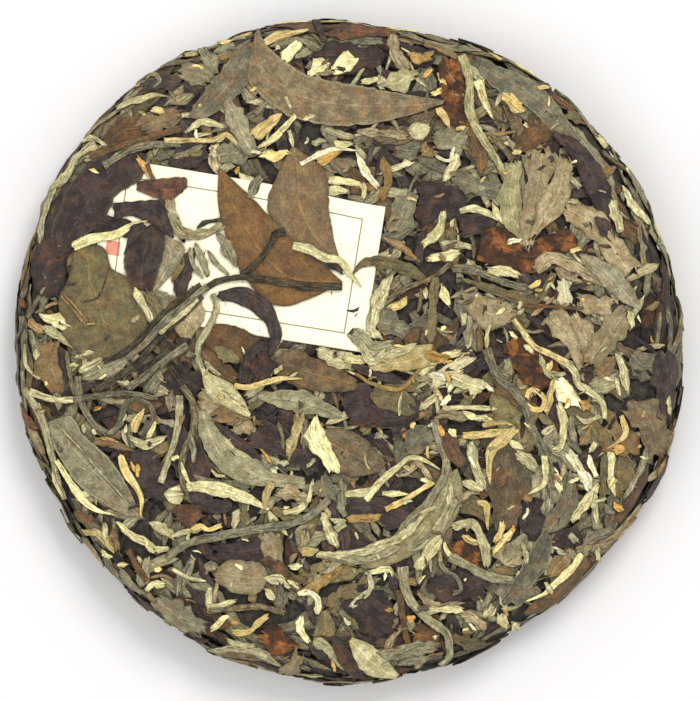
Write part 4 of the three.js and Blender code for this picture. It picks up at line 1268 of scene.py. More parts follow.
def torn_spot(tree, given, across, seed_shift):
    """Where a corner lies on the chart, with torn sides and ends."""
    middle = named(tree, "middle", "FLOAT_VECTOR")
    side = named(tree, "side", "FLOAT_VECTOR")
    along = calc(tree, "DIVIDE", named(tree, "travel"), given["Tear spacing"])
    side_tear = noise(tree, combined(tree, along, calc(tree, "SIGN", across), seed_shift))
    side_tear = swing(tree, side_tear, named(tree, "torn"), TEAR_GAIN)
    reach = calc(tree, "MULTIPLY", across, calc(tree, "ADD", 1.0, side_tear))
    spot = vector_calc(tree, "ADD", middle, scaled(tree, side, reach))

    end_tear = noise(tree, combined(tree, calc(tree, "MULTIPLY", across, END_TEARS), 0.0, seed_shift))
    end_tear = swing(tree, end_tear, named(tree, "ends"), TEAR_GAIN)
    to_end = calc(tree, "MULTIPLY_ADD", named(tree, "share"), 2.0, -1.0)
    near_end = calc(tree, "POWER", calc(tree, "ABSOLUTE", to_end), END_SHARPNESS)
    near_end = calc(tree, "MULTIPLY", near_end, calc(tree, "SIGN", to_end))
    heading = vector_calc(tree, "NORMALIZE", vector_calc(tree, "CROSS_PRODUCT", side, (0.0, 0.0, 1.0)))
    end_shift = calc(tree, "MULTIPLY", end_tear, near_end)
    return vector_calc(tree, "ADD", spot, scaled(tree, heading, end_shift))


def relief_height(tree, given, across, face, spot, seed_shift):
    """How high a corner stands over what its piece rests on."""
    ripple_spot = vector_calc(
        tree,
        "ADD",
        scaled(tree, spot, calc(tree, "DIVIDE", 1.0, given["Ripple spacing"])),
        combined(tree, z=seed_shift),
    )
    ripple = swing(tree, noise(tree, ripple_spot), named(tree, "wave"), RIPPLE_GAIN)
    fold = calc(tree, "MULTIPLY", across, calc(tree, "MULTIPLY", named(tree, "folds"), math.pi))
    fold = calc(tree, "ABSOLUTE", calc(tree, "COSINE", calc(tree, "ADD", fold, seed_shift)))
    fold = calc(tree, "MULTIPLY", fold, calc(tree, "MULTIPLY", named(tree, "pleat"), given["Fold depth"]))
    curl = calc(tree, "POWER", calc(tree, "ABSOLUTE", across), CURL_SHARPNESS)
    curl = calc(tree, "MULTIPLY", curl, named(tree, "curl"))
    sharpness = blended(tree, named(tree, "plump"), FLAT_SECTION, ROUND_SECTION)
    section = calc(tree, "POWER", calc(tree, "ABSOLUTE", face), sharpness)
    section = calc(tree, "MULTIPLY", calc(tree, "SIGN", face), section)
    body = calc(tree, "MULTIPLY", calc(tree, "MULTIPLY_ADD", section, 0.5, 0.5), named(tree, "thickness"))
    return calc(tree, "ADD", calc(tree, "ADD", body, curl), calc(tree, "ADD", ripple, fold))


def make_sweep_tree():
    """Sweeps a ring along each middle line and shapes it into a leaf, a stalk or a bud."""
    tree = bpy.data.node_groups.new("sweep along middle lines", "GeometryNodeTree")
    tree.interface.new_socket("Geometry", in_out="INPUT", socket_type="NodeSocketGeometry")
    for name, kind, usual in SWEEP_INPUTS:
        socket = tree.interface.new_socket(name, in_out="INPUT", socket_type=kind)
        if usual is not None:
            socket.default_value = usual
    tree.interface.new_socket("Geometry", in_out="OUTPUT", socket_type="NodeSocketGeometry")
    given = tree.nodes.new("NodeGroupInput").outputs

    path = put(tree, "GeometryNodeMeshToCurve", {"Mesh": given["Geometry"]}).outputs[0]
    spline = tree.nodes.new("GeometryNodeSplineParameter").outputs
    position = tree.nodes.new("GeometryNodeInputPosition").outputs[0]
    path = stored(tree, path, "middle", position, "FLOAT_VECTOR")
    path = stored(tree, path, "share", spline["Factor"])
    path = stored(tree, path, "travel", spline["Length"])
    circle = {"Resolution": given["Corners round"], "Radius": 1.0}
    ring = put(tree, "GeometryNodeCurvePrimitiveCircle", circle).outputs[0]
    ring = stored(tree, ring, "ring", position, "FLOAT_VECTOR")
    sweep_inputs = {"Curve": path, "Profile Curve": ring, "Fill Caps": True}
    swept = put(tree, "GeometryNodeCurveToMesh", sweep_inputs).outputs[0]

    own = put(tree, "ShaderNodeSeparateXYZ", {0: named(tree, "ring", "FLOAT_VECTOR")}).outputs
    across, face = own["X"], own["Y"]
    seed_shift = calc(tree, "MULTIPLY", calc(tree, "ADD", named(tree, "number"), given["Seed"]), SEED_STEP)
    flat_spot = torn_spot(tree, given, across, seed_shift)
    height = relief_height(tree, given, across, face, flat_spot, seed_shift)
    spot = vector_calc(tree, "ADD", flat_spot, combined(tree, z=height))
    shaped = put(tree, "GeometryNodeSetPosition", {"Geometry": swept, "Position": spot}).outputs[0]

    side = named(tree, "side", "FLOAT_VECTOR")
    side_length = put(tree, "ShaderNodeVectorMath", {0: side}, operation="LENGTH").outputs["Value"]
    map_start = calc(tree, "MULTIPLY", seed_shift, MAP_STEP)
    map_along = calc(tree, "ADD", named(tree, "travel"), map_start)
    leaf_map = combined(tree, map_along, calc(tree, "MULTIPLY", across, side_length))
    shaped = stored(tree, shaped, "leaf_map", leaf_map, "FLOAT2", "CORNER")
    shaped = stored(tree, shaped, "edge", calc(tree, "ABSOLUTE", across))
    shaped = put(tree, "GeometryNodeRealizeInstances", {"Geometry": shaped}).outputs[0]
    finish = {"Geometry": shaped, "Material": given["Material"]}
    shaped = put(tree, "GeometryNodeSetMaterial", finish).outputs[0]
    tree.links.new(shaped, tree.nodes.new("NodeGroupOutput").inputs[0])
    return tree


FORM_NAMES = ["thickness", "plump", "torn", "ends", "wave", "curl", "pleat", "folds"]


def to_linear(colour):
    """Linear values from sRGB ones of 0 to 255."""
    share = np.asarray(colour, float) / 255
    return np.where(share <= 0.04045, share / 12.92, ((share + 0.055) / 1.055) ** 2.4)


def opaque(colour):
    return (*to_linear(colour), 1)


def add_attribute(lines, name, kind, values, counts):
    """Gives each corner of the middle lines its piece's value."""
    field = {"FLOAT": "value", "FLOAT_COLOR": "color"}[kind]
    spread = np.repeat(np.array(values, float), counts, axis=0)
    lines.attributes.new(name, kind, "POINT").data.foreach_set(field, spread.ravel())


def swept_mesh(title, pieces, tree, material, corners_round):
    """Runs the sweep over the pieces' middle lines and returns one plain mesh."""
    counts = [len(piece.middle) for piece in pieces]
    starts = np.concatenate([[0], np.cumsum(counts)])
    flat = np.zeros((starts[-1], 3))
    flat[:, :2] = np.vstack([piece.middle for piece in pieces])
    edges = np.concatenate([
        np.stack([np.arange(start, start + count - 1), np.arange(start + 1, start + count)], 1)
        for start, count in zip(starts, counts)
    ])
    lines = bpy.data.meshes.new(title)
    lines.from_pydata(flat.tolist(), edges.tolist(), [])
    sides = np.zeros_like(flat)
    sides[:, :2] = np.vstack([piece.side for piece in pieces])
    lines.attributes.new("side", "FLOAT_VECTOR", "POINT").data.foreach_set("vector", sides.ravel())
    add_attribute(lines, "number", "FLOAT", range(len(pieces)), counts)
    for form in FORM_NAMES:
        add_attribute(lines, form, "FLOAT", [piece.form[form] for piece in pieces], counts)
    for place, name in enumerate(("tint", "second_tint")):
        tints = [opaque(np.array(TONES[piece.tone][place]) * piece.shade) for piece in pieces]
        add_attribute(lines, name, "FLOAT_COLOR", tints, counts)
    marks = [(*TONES[piece.tone][2:], piece.pale_edge, 1.0) for piece in pieces]
    add_attribute(lines, "marks", "FLOAT_COLOR", marks, counts)
    draft = bpy.data.objects.new(title, lines)
    bpy.context.scene.collection.objects.link(draft)
    modifier = draft.modifiers.new("sweep", "NODES")
    modifier.node_group = tree
    sockets = {
        item.name: item.identifier for item in tree.interface.items_tree if item.in_out == "INPUT"
    }
    modifier[sockets["Corners round"]] = corners_round
    modifier[sockets["Material"]] = material
    depsgraph = bpy.context.evaluated_depsgraph_get()
    mesh = bpy.data.meshes.new_from_object(
        draft.evaluated_get(depsgraph), preserve_all_data_layers=True, depsgraph=depsgraph
    )
    bpy.data.objects.remove(draft)
    return mesh


def numbers_of(mesh):
    values = np.zeros(len(mesh.vertices), np.float32)
    mesh.attributes["number"].data.foreach_get("value", values)
    return np.rint(values).astype(int)


def corners_of(mesh):
    flat = np.zeros(len(mesh.vertices) * 3, np.float32)
    mesh.vertices.foreach_get("co", flat)
    return flat.reshape(-1, 3).astype(float)


READ_BY_MATERIALS = {"tint", "second_tint", "marks", "edge", "leaf_map"}
KEPT_ATTRIBUTES = READ_BY_MATERIALS | {"position", "material_index", "sharp_face"}


def finish_mesh(mesh, places):
    """Puts the corners in place, and keeps only what the materials read."""
    mesh.vertices.foreach_set("co", places.ravel())
    for attribute in [layer.name for layer in mesh.attributes]:
        if attribute not in KEPT_ATTRIBUTES and not attribute.startswith("."):
            mesh.attributes.remove(mesh.attributes[attribute])
    mesh.polygons.foreach_set("use_smooth", np.ones(len(mesh.polygons), bool))
    mesh.update()


def settled(title, pieces, tree, material, corners_round, bed_height, press, is_underside):
    """The mesh of some pieces, laid on their bed and pressed onto the cake."""
    mesh = swept_mesh(title, pieces, tree, material, corners_round)
    corners = corners_of(mesh)
    numbers = numbers_of(mesh)
    order = np.argsort(numbers, kind="stable")
    bounds = np.searchsorted(numbers[order], np.arange(len(pieces) + 1))
    lift = np.zeros(len(corners))
    for index, piece in enumerate(pieces):
        own = order[bounds[index]:bounds[index + 1]]
        lift[own] = rest_height(piece, corners[own, :2]) + corners[own, 2]
    lift = bed_height + pressed(np.maximum(lift, LOWEST_LIFT), press)
    finish_mesh(mesh, on_cake(corners[:, :2], lift, is_underside))
    if is_underside:
        mesh.flip_normals()
    return mesh


# ---- Materials -------------------------------------------------------------------


def shader_group(name, inputs, outputs):
    """A new group, with the sockets inside it to read from and to put values out by."""
    group = bpy.data.node_groups.new(name, "ShaderNodeTree")
    for label, kind, usual in inputs:
        socket = group.interface.new_socket(label, in_out="INPUT", socket_type=kind)
        if usual is not None:
            socket.default_value = usual
    for label in outputs:
        group.interface.new_socket(label, in_out="OUTPUT", socket_type="NodeSocketFloat")
    return group, group.nodes.new("NodeGroupInput").outputs, group.nodes.new("NodeGroupOutput").inputs


BLOTCH_DETAIL, BLOTCH_ROUGHNESS, BLOTCH_RANGE = 4.0, 0.62, (0.36, 0.66)
SPECK_DETAIL, SPECK_ROUGHNESS, SPECK_RANGE = 3.0, 0.7, (0.32, 0.7)
LINE_DETAIL, LINE_ROUGHNESS, LINE_RANGE = 3.0, 0.6, (0.33, 0.67)
RIB_RANGE = (-0.1, 0.12)


def make_mottle_group():
    """Soft blotches and fine specks, each from 0 to 1."""
    group, given, results = shader_group(
        "mottle",
        [
            ("Place", "NodeSocketVector", None),
            ("Blotches per m", "NodeSocketFloat", 260.0),
            ("Specks per m", "NodeSocketFloat", 1500.0),
        ],
        ["Blotch", "Speck"],
    )
    blotch = noise(group, given["Place"], BLOTCH_DETAIL, given["Blotches per m"], BLOTCH_ROUGHNESS)
    speck = noise(group, given["Place"], SPECK_DETAIL, given["Specks per m"], SPECK_ROUGHNESS)
    group.links.new(ranged(group, blotch, *BLOTCH_RANGE), results["Blotch"])
    group.links.new(ranged(group, speck, *SPECK_RANGE), results["Speck"])
    return group


def make_fibre_group():
    """Fine lines that run along a piece, as on a dried leaf or stalk."""
    group, given, results = shader_group(
        "fibres",
        [
            ("Map", "NodeSocketVector", None),
            ("Lines per mm", "NodeSocketFloat", 2.2),
            ("Waver", "NodeSocketFloat", 0.12),
        ],
        ["Line"],
    )
    parts = put(group, "ShaderNodeSeparateXYZ", {0: given["Map"]}).outputs
    along = calc(group, "MULTIPLY", parts["X"], given["Waver"])
    across = calc(group, "MULTIPLY", parts["Y"], given["Lines per mm"])
    lines = noise(group, combined(group, along, across), LINE_DETAIL, roughness=LINE_ROUGHNESS)
    group.links.new(ranged(group, lines, *LINE_RANGE), results["Line"])
    return group


VEIN_SLANT = 0.9
VEIN_WAVER = 4.0
VEIN_WAVER_SCALE = 0.35
VEIN_WIDTH = 0.09


def make_vein_group():
    """A middle rib and slanting side veins."""
    group, given, results = shader_group(
        "veins",
        [
            ("Map", "NodeSocketVector", None),
            ("Spacing", "NodeSocketFloat", 3.4),
            ("Rib width", "NodeSocketFloat", 0.35),
        ],
        ["Rib", "Vein"],
    )
    parts = put(group, "ShaderNodeSeparateXYZ", {0: given["Map"]}).outputs
    off = calc(group, "ABSOLUTE", parts["Y"])
    waver = noise(group, given["Map"], scale=VEIN_WAVER_SCALE)
    waver = calc(group, "MULTIPLY", waver, VEIN_WAVER)
    slanted = calc(group, "SUBTRACT", parts["X"], calc(group, "MULTIPLY", off, VEIN_SLANT))
    slanted = calc(group, "ADD", slanted, waver)
    phase = calc(group, "FRACT", calc(group, "DIVIDE", slanted, given["Spacing"]))
    from_vein = calc(group, "ABSOLUTE", calc(group, "SUBTRACT", phase, 0.5))
    from_rib = calc(group, "SUBTRACT", off, given["Rib width"])
    group.links.new(ranged(group, from_vein, 0.0, VEIN_WIDTH, 1.0, 0.0), results["Vein"])
    group.links.new(ranged(group, from_rib, *RIB_RANGE, 1.0, 0.0), results["Rib"])
    return group


MOTTLE = make_mottle_group()
FIBRES = make_fibre_group()
VEINS = make_vein_group()


def use_group(tree, group, inputs):
    return put(tree, "ShaderNodeGroup", inputs, node_tree=group).outputs


def attribute_of(tree, name, output="Color"):
    return put(tree, "ShaderNodeAttribute", attribute_name=name).outputs[output]


def new_material(name):
    material = bpy.data.materials.new(name)
    material.use_nodes = True
    return material, material.node_tree, material.node_tree.nodes["Principled BSDF"]


def add_bump(tree, shader, height, strength, distance):
    inputs = {"Strength": strength, "Distance": distance, "Height": height}
    bump = put(tree, "ShaderNodeBump", inputs).outputs[0]
    tree.links.new(bump, shader.inputs["Normal"])


# Each piece's rusty patches, its down along the fibres, and its pale downy edge.
RUST_BLOTCHES = 230.0
RUST_FROM, RUST_TO = 0.45, 0.85
RUST_STRENGTH = 0.8
DOWN_LINES = 3.2
DOWN_WAVER = 0.7
DOWN_FROM, DOWN_TO = 0.55, 0.95
DOWN_STRENGTH = 1.2
PALE_EDGE_FROM, PALE_EDGE_TO = 0.84, 0.97
PALE_EDGE_STRENGTH = 1.3

# Dark and light: specks and patches, and painted shade in the fine creases and towards each piece's edges.
CREASE_LINES = 1.1
CREASE_WAVER = 0.16
CREASE_WIDTH = 0.3
FIBRE_WAVER = 0.3
DARK_SPECK, LIGHT_SPECK = 0.68, 1.3
PATCH_BLOTCHES = 420.0
DARK_PATCH, LIGHT_PATCH = 0.84, 1.15
# Where the painted shade towards a piece's edge begins, as a share of its half width.
SHADED_EDGE_FROM = 0.78

# The share of each in a piece's relief, and how strong the relief is.
FIBRE_RELIEF = 0.45
SPECK_RELIEF = 0.55
CREASE_RELIEF = 0.8
VEIN_RELIEF = 0.7
SIDE_VEIN = 0.45
TEA_BUMP = 0.9
TEA_BUMP_DEPTH = 0.0004
TEA_SPECULAR = 0.22
SMOOTHEST = 0.62
ROUGHEST = 0.92
SHEEN_ROUGHNESS = 0.5


def tea_colour(tree, place, leaf_map, blotch, fibre, edge, streak):
    """A piece's own two tints, its rusty patches and its down."""
    marks = put(tree, "ShaderNodeSeparateColor", {0: attribute_of(tree, "marks")}).outputs
    tint, second = attribute_of(tree, "tint"), attribute_of(tree, "second_tint")
    share = ranged(tree, blended(tree, streak, blotch, fibre), 0.3, 0.7)
    colour = blended(tree, share, tint, second, is_colour=True)

    rust = use_group(tree, MOTTLE, {"Place": place, "Blotches per m": RUST_BLOTCHES})["Blotch"]
    rust = product(tree, ranged(tree, rust, RUST_FROM, RUST_TO), marks["Red"], RUST_STRENGTH)
    colour = blended(tree, rust, colour, opaque(RUSTY), is_colour=True)

    down_inputs = {"Map": leaf_map, "Lines per mm": DOWN_LINES, "Waver": DOWN_WAVER}
    down = use_group(tree, FIBRES, down_inputs)["Line"]
    down = product(tree, ranged(tree, down, DOWN_FROM, DOWN_TO), marks["Green"], DOWN_STRENGTH * streak)
    pale_edge = product(tree, marks["Blue"], PALE_EDGE_STRENGTH, marks["Green"])
    pale_edge = product(tree, ranged(tree, edge, PALE_EDGE_FROM, PALE_EDGE_TO), pale_edge)
    down = calc(tree, "MAXIMUM", down, pale_edge)
    return blended(tree, down, colour, opaque(DOWNY), is_colour=True)


def tea_material(name, streak, fibre_depth, crease_shade_and_depth, vein_depth, edge_painted_shade, sheen):
    """A dry leaf finish. Each piece carries its own two tints."""
    material, tree, shader = new_material(name)
    edge = attribute_of(tree, "edge", "Fac")
    place = tree.nodes.new("ShaderNodeTexCoord").outputs["Object"]
    leaf_map = put(tree, "ShaderNodeUVMap", uv_map="leaf_map").outputs[0]
    mottle = use_group(tree, MOTTLE, {"Place": place})
    speck = mottle["Speck"]
    fibre = use_group(tree, FIBRES, {"Map": leaf_map, "Waver": FIBRE_WAVER})["Line"]
    crease_inputs = {"Map": leaf_map, "Lines per mm": CREASE_LINES, "Waver": CREASE_WAVER}
    crease = ranged(tree, use_group(tree, FIBRES, crease_inputs)["Line"], 0.0, CREASE_WIDTH, 1.0, 0.0)
    patches = use_group(tree, MOTTLE, {"Place": place, "Blotches per m": PATCH_BLOTCHES})["Blotch"]

    fibre_share = calc(tree, "MULTIPLY", calc(tree, "SUBTRACT", fibre, 0.5), fibre_depth)
    # Besides the fibres, specks and patches, the shade holds painted shade: darker in the fine creases and
    # towards each piece's edges.
    shade = product(
        tree,
        calc(tree, "ADD", 1.0, fibre_share),
        # painted shade in the creases
        calc(tree, "MULTIPLY_ADD", crease, -crease_shade_and_depth, 1.0),
        ranged(tree, speck, 0, 1, DARK_SPECK, LIGHT_SPECK),
        ranged(tree, patches, 0, 1, DARK_PATCH, LIGHT_PATCH),
        # painted shade towards the edges
        ranged(tree, edge, SHADED_EDGE_FROM, 1.0, 1.0, edge_painted_shade),
    )
    fibre_height = calc(tree, "MULTIPLY", fibre, FIBRE_RELIEF)
    height = calc(tree, "ADD", fibre_height, calc(tree, "MULTIPLY", speck, SPECK_RELIEF))
    height = calc(tree, "MULTIPLY_ADD", crease, -CREASE_RELIEF * min(1.0, 2 * crease_shade_and_depth), height)
    if vein_depth:
        veins = use_group(tree, VEINS, {"Map": leaf_map})
        lines = calc(tree, "MAXIMUM", veins["Rib"], calc(tree, "MULTIPLY", veins["Vein"], SIDE_VEIN))
        vein_shade = calc(tree, "ADD", 1.0, calc(tree, "MULTIPLY", lines, vein_depth))
        shade = calc(tree, "MULTIPLY", shade, vein_shade)
        height = calc(tree, "ADD", height, calc(tree, "MULTIPLY", lines, VEIN_RELIEF))

    colour = tea_colour(tree, place, leaf_map, mottle["Blotch"], fibre, edge, streak)
    tree.links.new(scaled(tree, colour, shade), shader.inputs["Base Color"])
    tree.links.new(ranged(tree, speck, 0, 1, SMOOTHEST, ROUGHEST), shader.inputs["Roughness"])
    shader.inputs["Specular IOR Level"].default_value = TEA_SPECULAR
    shader.inputs["Sheen Weight"].default_value = sheen
    shader.inputs["Sheen Roughness"].default_value = SHEEN_ROUGHNESS
    add_bump(tree, shader, height, TEA_BUMP, TEA_BUMP_DEPTH)
    return material


CRUMB_DARK = (44, 38, 36)
CRUMB_LIGHT = (84, 76, 64)
CRUMB_ROUGHNESS = 0.9
CRUMB_BUMP = 1.0
CRUMB_BUMP_DEPTH = 0.0005


def make_core_material():
    """Dark crumb, mottled and rough."""
    material, tree, shader = new_material("leaf crumb")
    place = tree.nodes.new("ShaderNodeTexCoord").outputs["Object"]
    mottle = use_group(tree, MOTTLE, {"Place": place, "Blotches per m": PATCH_BLOTCHES})
    colour = blended(tree, mottle["Blotch"], opaque(CRUMB_DARK), opaque(CRUMB_LIGHT), is_colour=True)
    tree.links.new(colour, shader.inputs["Base Color"])
    shader.inputs["Roughness"].default_value = CRUMB_ROUGHNESS
    add_bump(tree, shader, mottle["Speck"], CRUMB_BUMP, CRUMB_BUMP_DEPTH)
    return material


PAPER = (246, 238, 204)
PAPER_LIGHT = (250, 245, 218)
PAPER_ROUGHNESS = 0.8
PAPER_BUMP = 0.35
PAPER_BUMP_DEPTH = 0.00008
BORDER_COLOUR = (128, 120, 80)
BORDER_STRENGTH = 0.9
BORDER_FROM_ENDS = 6.4
BORDER_FROM_SIDES = 4.8
BORDER_LINE = 0.42
RED_PATCH = dict(centre=(-36.5, -3.5), size=(4.2, 4.2), colour=(206, 70, 52))


def make_paper_material():
    """Cream paper with a thin plain border line and a small plain red patch."""
    material, tree, shader = new_material("ticket paper")
    sheet = put(tree, "ShaderNodeUVMap", uv_map="leaf_map").outputs[0]
    place = tree.nodes.new("ShaderNodeTexCoord").outputs["Object"]
    parts = put(tree, "ShaderNodeSeparateXYZ", {0: sheet}).outputs
    mottle = use_group(tree, MOTTLE, {"Place": place, "Blotches per m": 120.0, "Specks per m": 3200.0})
    fibre = use_group(tree, FIBRES, {"Map": sheet, "Lines per mm": 3.0, "Waver": 1.0})["Line"]

    border_reach = (0.5 * TICKET_LENGTH - BORDER_FROM_ENDS, 0.5 * TICKET_WIDTH - BORDER_FROM_SIDES)
    x_off, y_off = (
        calc(tree, "SUBTRACT", reach, calc(tree, "ABSOLUTE", parts[axis]))
        for reach, axis in zip(border_reach, "XY")
    )
    line = calc(tree, "COMPARE", calc(tree, "MINIMUM", x_off, y_off), 0.0, 0.5 * BORDER_LINE)
    red_x, red_y = (
        calc(tree, "COMPARE", parts[axis], centre, 0.5 * size)
        for axis, centre, size in zip("XY", RED_PATCH["centre"], RED_PATCH["size"])
    )
    red = product(tree, red_x, red_y, ranged(tree, mottle["Speck"], 0, 0.5, 0.45, 0.8))

    paper = blended(tree, mottle["Blotch"], opaque(PAPER), opaque(PAPER_LIGHT), is_colour=True)
    line = calc(tree, "MULTIPLY", line, BORDER_STRENGTH)
    paper = blended(tree, line, paper, opaque(BORDER_COLOUR), is_colour=True)
    paper = blended(tree, red, paper, opaque(RED_PATCH["colour"]), is_colour=True)
    paper = scaled(tree, paper, ranged(tree, fibre, 0, 1, 0.97, 1.0))
    tree.links.new(paper, shader.inputs["Base Color"])
    shader.inputs["Roughness"].default_value = PAPER_ROUGHNESS
    add_bump(tree, shader, fibre, PAPER_BUMP, PAPER_BUMP_DEPTH)
    return material


# ---- Core and ticket meshes ------------------------------------------------------


def grid_faces(rows, columns, is_closed):
    """Quads of a grid of corners; a closed grid joins its last column to its first."""
    faces = []
    wide = columns if is_closed else columns - 1
    for row in range(rows - 1):
        for column in range(wide):
            right = (column + 1) % columns
            faces.append((
                row * columns + column, row * columns + right,
                (row + 1) * columns + right, (row + 1) * columns + column,
            ))
    return faces


# Corners round the core; its rings on the flat and round the rim; its fine relief.
CORE_SIDES = 260
POLE_RADIUS = 0.8
TOP_RINGS = 60
UNDER_RINGS = 40
TOP_RIM_SHARES = np.linspace(0.06, 0.5, 9)
UNDER_RIM_SHARES = np.linspace(0.06, 0.44, 8)
CRUMB_RELIEF = 0.35
CRUMB_SINKING = 0.45


def ring_girths(flat_rings, rim_shares):
    flat = np.linspace(POLE_RADIUS, SHOULDER, flat_rings)
    return np.concatenate([flat, SHOULDER + RIM_GIRTH * rim_shares])


def smooth_mesh(name, corners, faces, material):
    mesh = bpy.data.meshes.new(name)
    mesh.from_pydata(corners.tolist(), [], faces)
    mesh.materials.append(material)
    mesh.polygons.foreach_set("use_smooth", np.ones(len(mesh.polygons), bool))
    return mesh


def make_core():
    """The crumb under the leaves, dark and uneven."""
    angle = np.linspace(0, 2 * math.pi, CORE_SIDES, endpoint=False)
    top_girths = ring_girths(TOP_RINGS, TOP_RIM_SHARES)
    under_girths = ring_girths(UNDER_RINGS, UNDER_RIM_SHARES)[::-1]
    rings = []
    for girths, is_underside, bed in ((top_girths, False, TOP_BED), (under_girths, True, UNDER_BED)):
        for girth in girths:
            places = np.stack([girth * np.cos(angle), girth * np.sin(angle)], 1)
            crumb = CRUMB_RELIEF * np.sin(1.7 * places[:, 0]) * np.cos(1.9 * places[:, 1]) - CRUMB_SINKING
            rings.append(on_cake(places, bed + crumb, is_underside))
    faces = [tuple(reversed(face)) for face in grid_faces(len(rings), CORE_SIDES, is_closed=True)]
    last = (len(rings) - 1) * CORE_SIDES
    faces.append(tuple(range(CORE_SIDES)))
    faces.append(tuple(range(last + CORE_SIDES - 1, last - 1, -1)))
    return smooth_mesh("leaf_crumb", np.vstack(rings), faces, make_core_material())


TICKET_COLUMNS = 110
TICKET_ROWS = 60
TICKET_STIFFNESS = 4.5
TICKET_GAP = 0.02


def ticket_piece():
    turn = np.array([math.cos(TICKET_TURN), math.sin(TICKET_TURN)])
    side_turn = np.array([-turn[1], turn[0]])
    along = np.linspace(-0.5, 0.5, TICKET_COLUMNS + 1)[:, None] * TICKET_LENGTH
    middle = np.array(TICKET_CENTRE) + along * turn
    side = np.repeat(0.5 * TICKET_WIDTH * side_turn[None], TICKET_COLUMNS + 1, axis=0)
    piece = Piece("leaf", "cream", middle, side)
    piece.form.update(thickness=TICKET_THICKNESS, stiff=TICKET_STIFFNESS)
    piece.lift = TICKET_LIFT
    return piece


def make_ticket_mesh(piece):
    """A thin closed sheet that is bent over what lies under it."""
    across = np.linspace(-1, 1, TICKET_ROWS + 1)
    places = (piece.middle[:, None] + across[None, :, None] * piece.side[:, None]).reshape(-1, 2)
    rest = rest_height(piece, places)
    corners = np.vstack([
        on_cake(places, TOP_BED + pressed(rest + lift + TICKET_GAP, TOP_PRESS))
        for lift in (TICKET_THICKNESS, 0)
    ])
    columns = TICKET_ROWS + 1
    rows = TICKET_COLUMNS + 1
    count = rows * columns
    sheet = grid_faces(rows, columns, is_closed=False)
    top = [tuple(reversed(face)) for face in sheet]
    bottom = [tuple(count + corner for corner in face) for face in sheet]
    rim = [row * columns for row in range(rows)]
    rim += [(rows - 1) * columns + column for column in range(1, columns)]
    rim += [row * columns + columns - 1 for row in range(rows - 2, -1, -1)]
    rim += [column for column in range(columns - 2, 0, -1)]
    walls = [
        (here, count + here, count + there, there)
        for here, there in zip(rim, rim[1:] + rim[:1])
    ]
    mesh = smooth_mesh("paper_ticket", corners, top + bottom + walls, make_paper_material())
    flat = np.stack([
        np.repeat(np.linspace(-0.5, 0.5, rows) * TICKET_LENGTH, columns),
        np.tile(across * 0.5 * TICKET_WIDTH, rows),
    ], 1)
    flat = np.vstack([flat, flat])
    loops = np.zeros(len(mesh.loops), int)
    mesh.loops.foreach_get("vertex_index", loops)
    mesh.uv_layers.new(name="leaf_map").data.foreach_set("uv", flat[loops].ravel())
    return mesh


# ---- Building the cake -----------------------------------------------------------


def is_on_ticket(piece, clearance):
    """Whether a piece starts over the ticket, or within a clearance of it."""
    off = piece.middle[0] - np.array(TICKET_CENTRE)
    along = off[0] * math.cos(TICKET_TURN) + off[1] * math.sin(TICKET_TURN)
    across = off[1] * math.cos(TICKET_TURN) - off[0] * math.sin(TICKET_TURN)
    is_in_length = abs(along) < 0.5 * TICKET_LENGTH + clearance
    return is_in_length and abs(across) < 0.5 * TICKET_WIDTH + clearance


def clear_of_ticket(pieces, clearance):
    return [piece for piece in pieces if not is_on_ticket(piece, clearance)]


def shaded(pieces, spread=RULE_SPREAD, level=1.0):
    """Gives each piece its own shade, and some of them a pale edge."""
    for piece in pieces:
        piece.shade = np.clip(level + draws.normal(0, spread), *SHADE_LIMITS)
        piece.pale_edge = np.clip(draws.uniform(*PALE_EDGES), 0, 1)
    return pieces


lower_rule_pieces = shaded(pieces_by_rule(TOP_FILLER))
rim_pieces = shaded(pieces_by_rule(RIM_FILLER) + pieces_by_rule(RIM_STRIPS), level=RIM_LEVEL)
shreds = shaded(clear_of_ticket(pieces_by_rule(TOP_SHREDS), HIDDEN_UNDER_TICKET))
crumbs = shaded(clear_of_ticket(pieces_by_rule(TOP_CRUMBS), CRUMB_CLEARANCE))
lower_pieces = shaded(
    [piece_along(*row) for row in LOWER_PIECES] + [broad_leaf(*row) for row in LOWER_BROAD_LEAVES],
    NAMED_SPREAD,
)
ticket = ticket_piece()
upper_pieces = shaded(
    [broad_leaf(*row) for row in UPPER_BROAD_LEAVES] + [piece_along(*row) for row in UPPER_PIECES],
    NAMED_SPREAD,
)
under_pieces = shaded(pieces_by_rule(UNDER_FILLER) + pieces_by_rule(UNDER_STRIPS))

top_bed = Bed()
for piece in [*lower_rule_pieces, *rim_pieces, *shreds, *lower_pieces, ticket, *upper_pieces, *crumbs]:
    top_bed.lay(piece)
under_bed = Bed()
for piece in under_pieces:
    under_bed.lay(piece)

sweep = make_sweep_tree()
FINISHES = {
    # name, streak, fibre depth, painted shade in the creases (which also sets their relief), vein depth,
    # painted shade at the edge, sheen
    "broad": ("broad leaf", 0.2, 0.2, 0.1, 0.28, 0.66, 0.05),
    "leaf": ("dry leaf", 0.4, 0.4, 0.22, 0.22, 0.66, 0.05),
    "strip": ("rolled leaf", 0.5, 0.7, 0.5, 0, 0.55, 0.05),
    "bud": ("downy bud", 0.5, 0.5, 0.4, 0, 0.65, 0.15),
    "stalk": ("dry stalk", 0.5, 0.7, 0.5, 0, 0.6, 0.0),
}
materials = {finish: tea_material(*row) for finish, row in FINISHES.items()}

BROAD_FROM = 5.5


def is_kind(*kinds):
    return lambda piece: piece.kind in kinds


